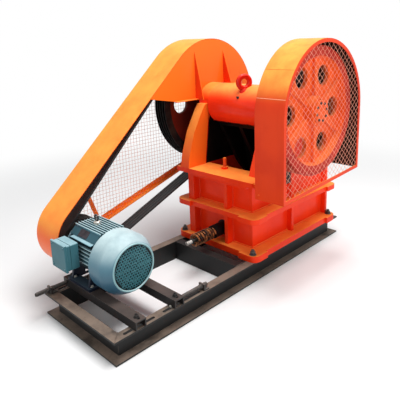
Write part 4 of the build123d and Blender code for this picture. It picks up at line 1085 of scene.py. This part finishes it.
def base_welds():
    """Beads on the mitred corners and where the cross beam meets the rails."""
    metal = Metal()
    half_x = high("base_rail_right").x
    flange = 58 * MM
    inset = 3 * MM
    beam_rear = low("base_cross_beam").y
    beam_front = high("base_cross_beam").y
    for sx in (-1, 1):
        inner_x = sx * (half_x - flange)
        for sy, end_y in ((-1, low("base_end_rear").y), (1, high("base_end_front").y)):
            corner = (sx * (half_x - inset), end_y - sy * inset, rail_top)
            bead(metal, corner, (inner_x, end_y - sy * flange, rail_top), 3 * MM)
        for y in (beam_rear, beam_front):
            bead(metal, (inner_x, y, rail_top), (inner_x, y, rail_top - 12 * MM))
        seam_z = rail_top + 0.5 * MM
        bead(metal, (inner_x, beam_rear, seam_z), (inner_x, beam_front, seam_z), 3 * MM)
    metal.set_down("base_welds", mill_steel, "rolled_steel")


def seam_across(metal, rim, degrees):
    """Seam over a guard's arched sheet from edge to edge, at an angle about the shaft."""
    inset = X_AXIS * 3 * MM
    arch = shaft_axis + spoke(degrees, high(rim).z - shaft_z - 0.8 * MM)
    bead(metal, arch + X_AXIS * low(rim).x + inset, arch + X_AXIS * high(rim).x - inset, 1.8 * MM)


def guard_seams():
    """Welded seam and a bend line across the flywheel guard's sheet, the bend painted pale as a painted
    highlight, and one blind rivet.
    """
    rim = "flywheel_guard_rim"
    seam = Metal()
    bend_highlight = Metal()
    for degrees, line in ((141, seam), (164, bend_highlight), (90, seam)):
        seam_across(line, rim, degrees)
    # painted highlight: the bend line is a pale bead
    bend_highlight.set_down("flywheel_guard_bend_highlight", bend_highlight_paint, "guard_paint")
    radius = high(rim).z - shaft_z
    rivet = (low(rim).x + 26 * MM, shaft_y - radius, 625 * MM)
    seam.turned(mm((5, -1), (5, 1), (3, 2.4)), rivet, -Y_AXIS, 16)
    seam.set_down("flywheel_guard_seams", sheet_paint, "guard_paint")


def belt_guard_seams():
    """Two seams across the belt guard's rim."""
    seam = Metal()
    for degrees in (66, 137):
        seam_across(seam, "belt_guard_rim", degrees)
    seam.set_down("belt_guard_seams", sheet_paint, "guard_paint")


def frame_welds():
    """Fillet beads in the corners of the rear wall's bays and along the flanges."""
    metal = Metal()
    rib_right = 88 * MM
    rib_left = rib_right - 26 * MM
    wall_x = -218 * MM
    for bottom, top in ((foot_top, 381 * MM), (mid_flange_top, 586 * MM)):
        for x in (rib_right, wall_x, rib_left):
            bead(metal, (x, bay_floor, bottom + 2 * MM), (x, bay_floor, top - 2 * MM), 7 * MM)
        bead(metal, (wall_x, bay_floor, bottom), (rib_left, bay_floor, bottom), 6 * MM)
        bead(metal, (rib_right, bay_floor, bottom), (248 * MM, bay_floor, bottom), 6 * MM)
    end_y = high("left_side_wall").y - 54 * MM
    for wall, start_y in ((-250 * MM, bay_floor - 30 * MM), (250 * MM, bay_floor)):
        for z in (foot_top, mid_flange_top):
            bead(metal, (wall, start_y, z), (wall, end_y, z), 6 * MM)
    metal.set_down("frame_welds", cast_paint, "frame_paint")


def wheel_cap():
    """Bolted cap over the flywheel's hub, inside the wire mesh."""
    metal = Metal()
    foot = shaft_axis + X_AXIS * (high("flywheel").x - 1 * MM)
    metal.turned(mm((70, 0), (70, 8), (67, 11), (30, 12)), foot, X_AXIS, 40)
    bolts = Metal()
    for k in range(8):
        degrees = 45 * k + 12
        place = foot + X_AXIS * 10 * MM + spoke(degrees, 54 * MM)
        bolts.hexagon(place, X_AXIS, 15 * MM, 7 * MM, math.radians(degrees))
    metal.set_down("wheel_hub_cap", wheel, "wheel_paint", body="crusher_rotor")
    bolts.set_down("wheel_cap_bolts", fastener_steel, "plain_steel", body="crusher_rotor")


def tension_threads():
    """Threads on the two screws that set the slides."""
    metal = Metal()
    for name in ("tension_screw_left", "tension_screw_right"):
        foot = Vector((middle(name).x, high(name).y - 1 * MM, rail_top + 24 * MM))
        metal.threaded(foot, -Y_AXIS, 13 * MM, foot.y - low(name).y, 6 * MM)
    metal.set_down("tension_screw_threads", fastener_steel, "plain_steel")


for make in (
    motor_slide_bolts, motor_foot_bolts, crusher_foot_nuts, bearing_cap_bolts, left_bearing, left_slope,
    tension_rod, stud_thread, barrel_grease_nipple, barrel_eye, motor_eye_bolt, motor_barrel,
    motor_rating_plate, terminal_box_lid, end_shield_details, motor_cowl, cowl_grille, flywheel_mesh, belt_mesh,
    base_welds, guard_seams, belt_guard_seams, frame_welds, wheel_cap, tension_threads,
):
    make()


# Camera, from the photograph's own perspective
camera_place = Vector((2.0102, base_y - 2.0578, 1.5030))
camera_turn = math.radians(44.0)
camera_dip = math.radians(13.4)
camera_roll = math.radians(-1.7)
picture = 400
focal_pixels = 463.2
view_centre = (213.4, 148.9)
sensor = 36.0

lens = bpy.data.cameras.new("camera")
lens.sensor_width = sensor
lens.lens = focal_pixels / picture * sensor
lens.shift_x = (picture / 2 - view_centre[0]) / picture
lens.shift_y = (view_centre[1] - picture / 2) / picture
camera = add_object("camera", lens)
camera.matrix_world = (
    Matrix.Translation(camera_place)
    @ Matrix.Rotation(camera_turn, 4, "Z")
    @ Matrix.Rotation(math.radians(90) - camera_dip, 4, "X")
    @ Matrix.Rotation(camera_roll, 4, "Z")
)
bpy.context.scene.camera = camera


# Floor and light
bpy.context.scene.view_settings.view_transform = "Standard"


def floor():
    """Pale floor that fades to the white behind it a few metres out."""
    mesh = bmesh.new()
    bmesh.ops.create_circle(mesh, cap_ends=True, segments=64, radius=30.0)
    data = bpy.data.meshes.new("floor")
    mesh.to_mesh(data)
    mesh.free()
    made = Finish("floor_white")
    made.wire_up(Base_Color=(0.86, 0.86, 0.86, 1.0), Roughness=0.9, Specular_IOR_Level=0.1)
    white = made.node("ShaderNodeEmission", inputs={"Color": (1, 1, 1, 1), "Strength": 1.0})
    far = made.vector("LENGTH", made.place, output="Value").between(1.6, 4.5)
    surface = made.tree.nodes["Material Output"].inputs["Surface"]
    plain = Signal(made, made.shader.outputs["BSDF"])
    out = made.node("ShaderNodeMixShader", inputs={0: far, 1: plain, 2: white})
    made.tree.links.new(out.socket, surface)
    data.materials.append(made.material)
    ground = add_object("floor", data)


def sky():
    """White for the camera and for gloss, a softer level as light."""
    world = bpy.data.worlds.new("studio")
    bpy.context.scene.world = world
    world.use_nodes = True
    tree = world.node_tree
    background = tree.nodes["Background"]
    white = tree.nodes.new("ShaderNodeBackground")
    for shown, colour, strength in ((background, (0.97, 0.985, 1.0, 1.0), 0.4), (white, (1, 1, 1, 1), 1.0)):
        shown.inputs["Color"].default_value = colour
        shown.inputs["Strength"].default_value = strength
    ray = tree.nodes.new("ShaderNodeLightPath")
    most = tree.nodes.new("ShaderNodeMath")
    most.operation = "MAXIMUM"
    tree.links.new(ray.outputs["Is Camera Ray"], most.inputs[0])
    tree.links.new(ray.outputs["Is Glossy Ray"], most.inputs[1])
    mix = tree.nodes.new("ShaderNodeMixShader")
    tree.links.new(most.outputs[0], mix.inputs[0])
    tree.links.new(background.outputs[0], mix.inputs[1])
    tree.links.new(white.outputs[0], mix.inputs[2])
    tree.links.new(mix.outputs[0], tree.nodes["World Output"].inputs["Surface"])


def softbox(name, place, aim, size, power, colour=(1, 1, 1)):
    light = bpy.data.lights.new(name, "AREA")
    light.shape = "SQUARE"
    light.size = size
    light.energy = power
    light.color = colour
    lamp = add_object(name, light)
    lamp.location = place
    lamp.rotation_euler = (Vector(aim) - Vector(place)).to_track_quat("-Z", "Y").to_euler()


floor()
sky()
softbox("overhead", (0.9, base_y + 0.4, 5.0), (0.0, base_y + 0.1, 0.6), 2.6, 250)
softbox("right_window", (4.6, base_y - 0.3, 2.4), (0.2, base_y, 0.7), 1.8, 62, (1.0, 0.97, 0.93))
softbox("rear_window", (-0.6, base_y - 4.8, 2.2), (0.0, base_y, 0.6), 1.6, 33)
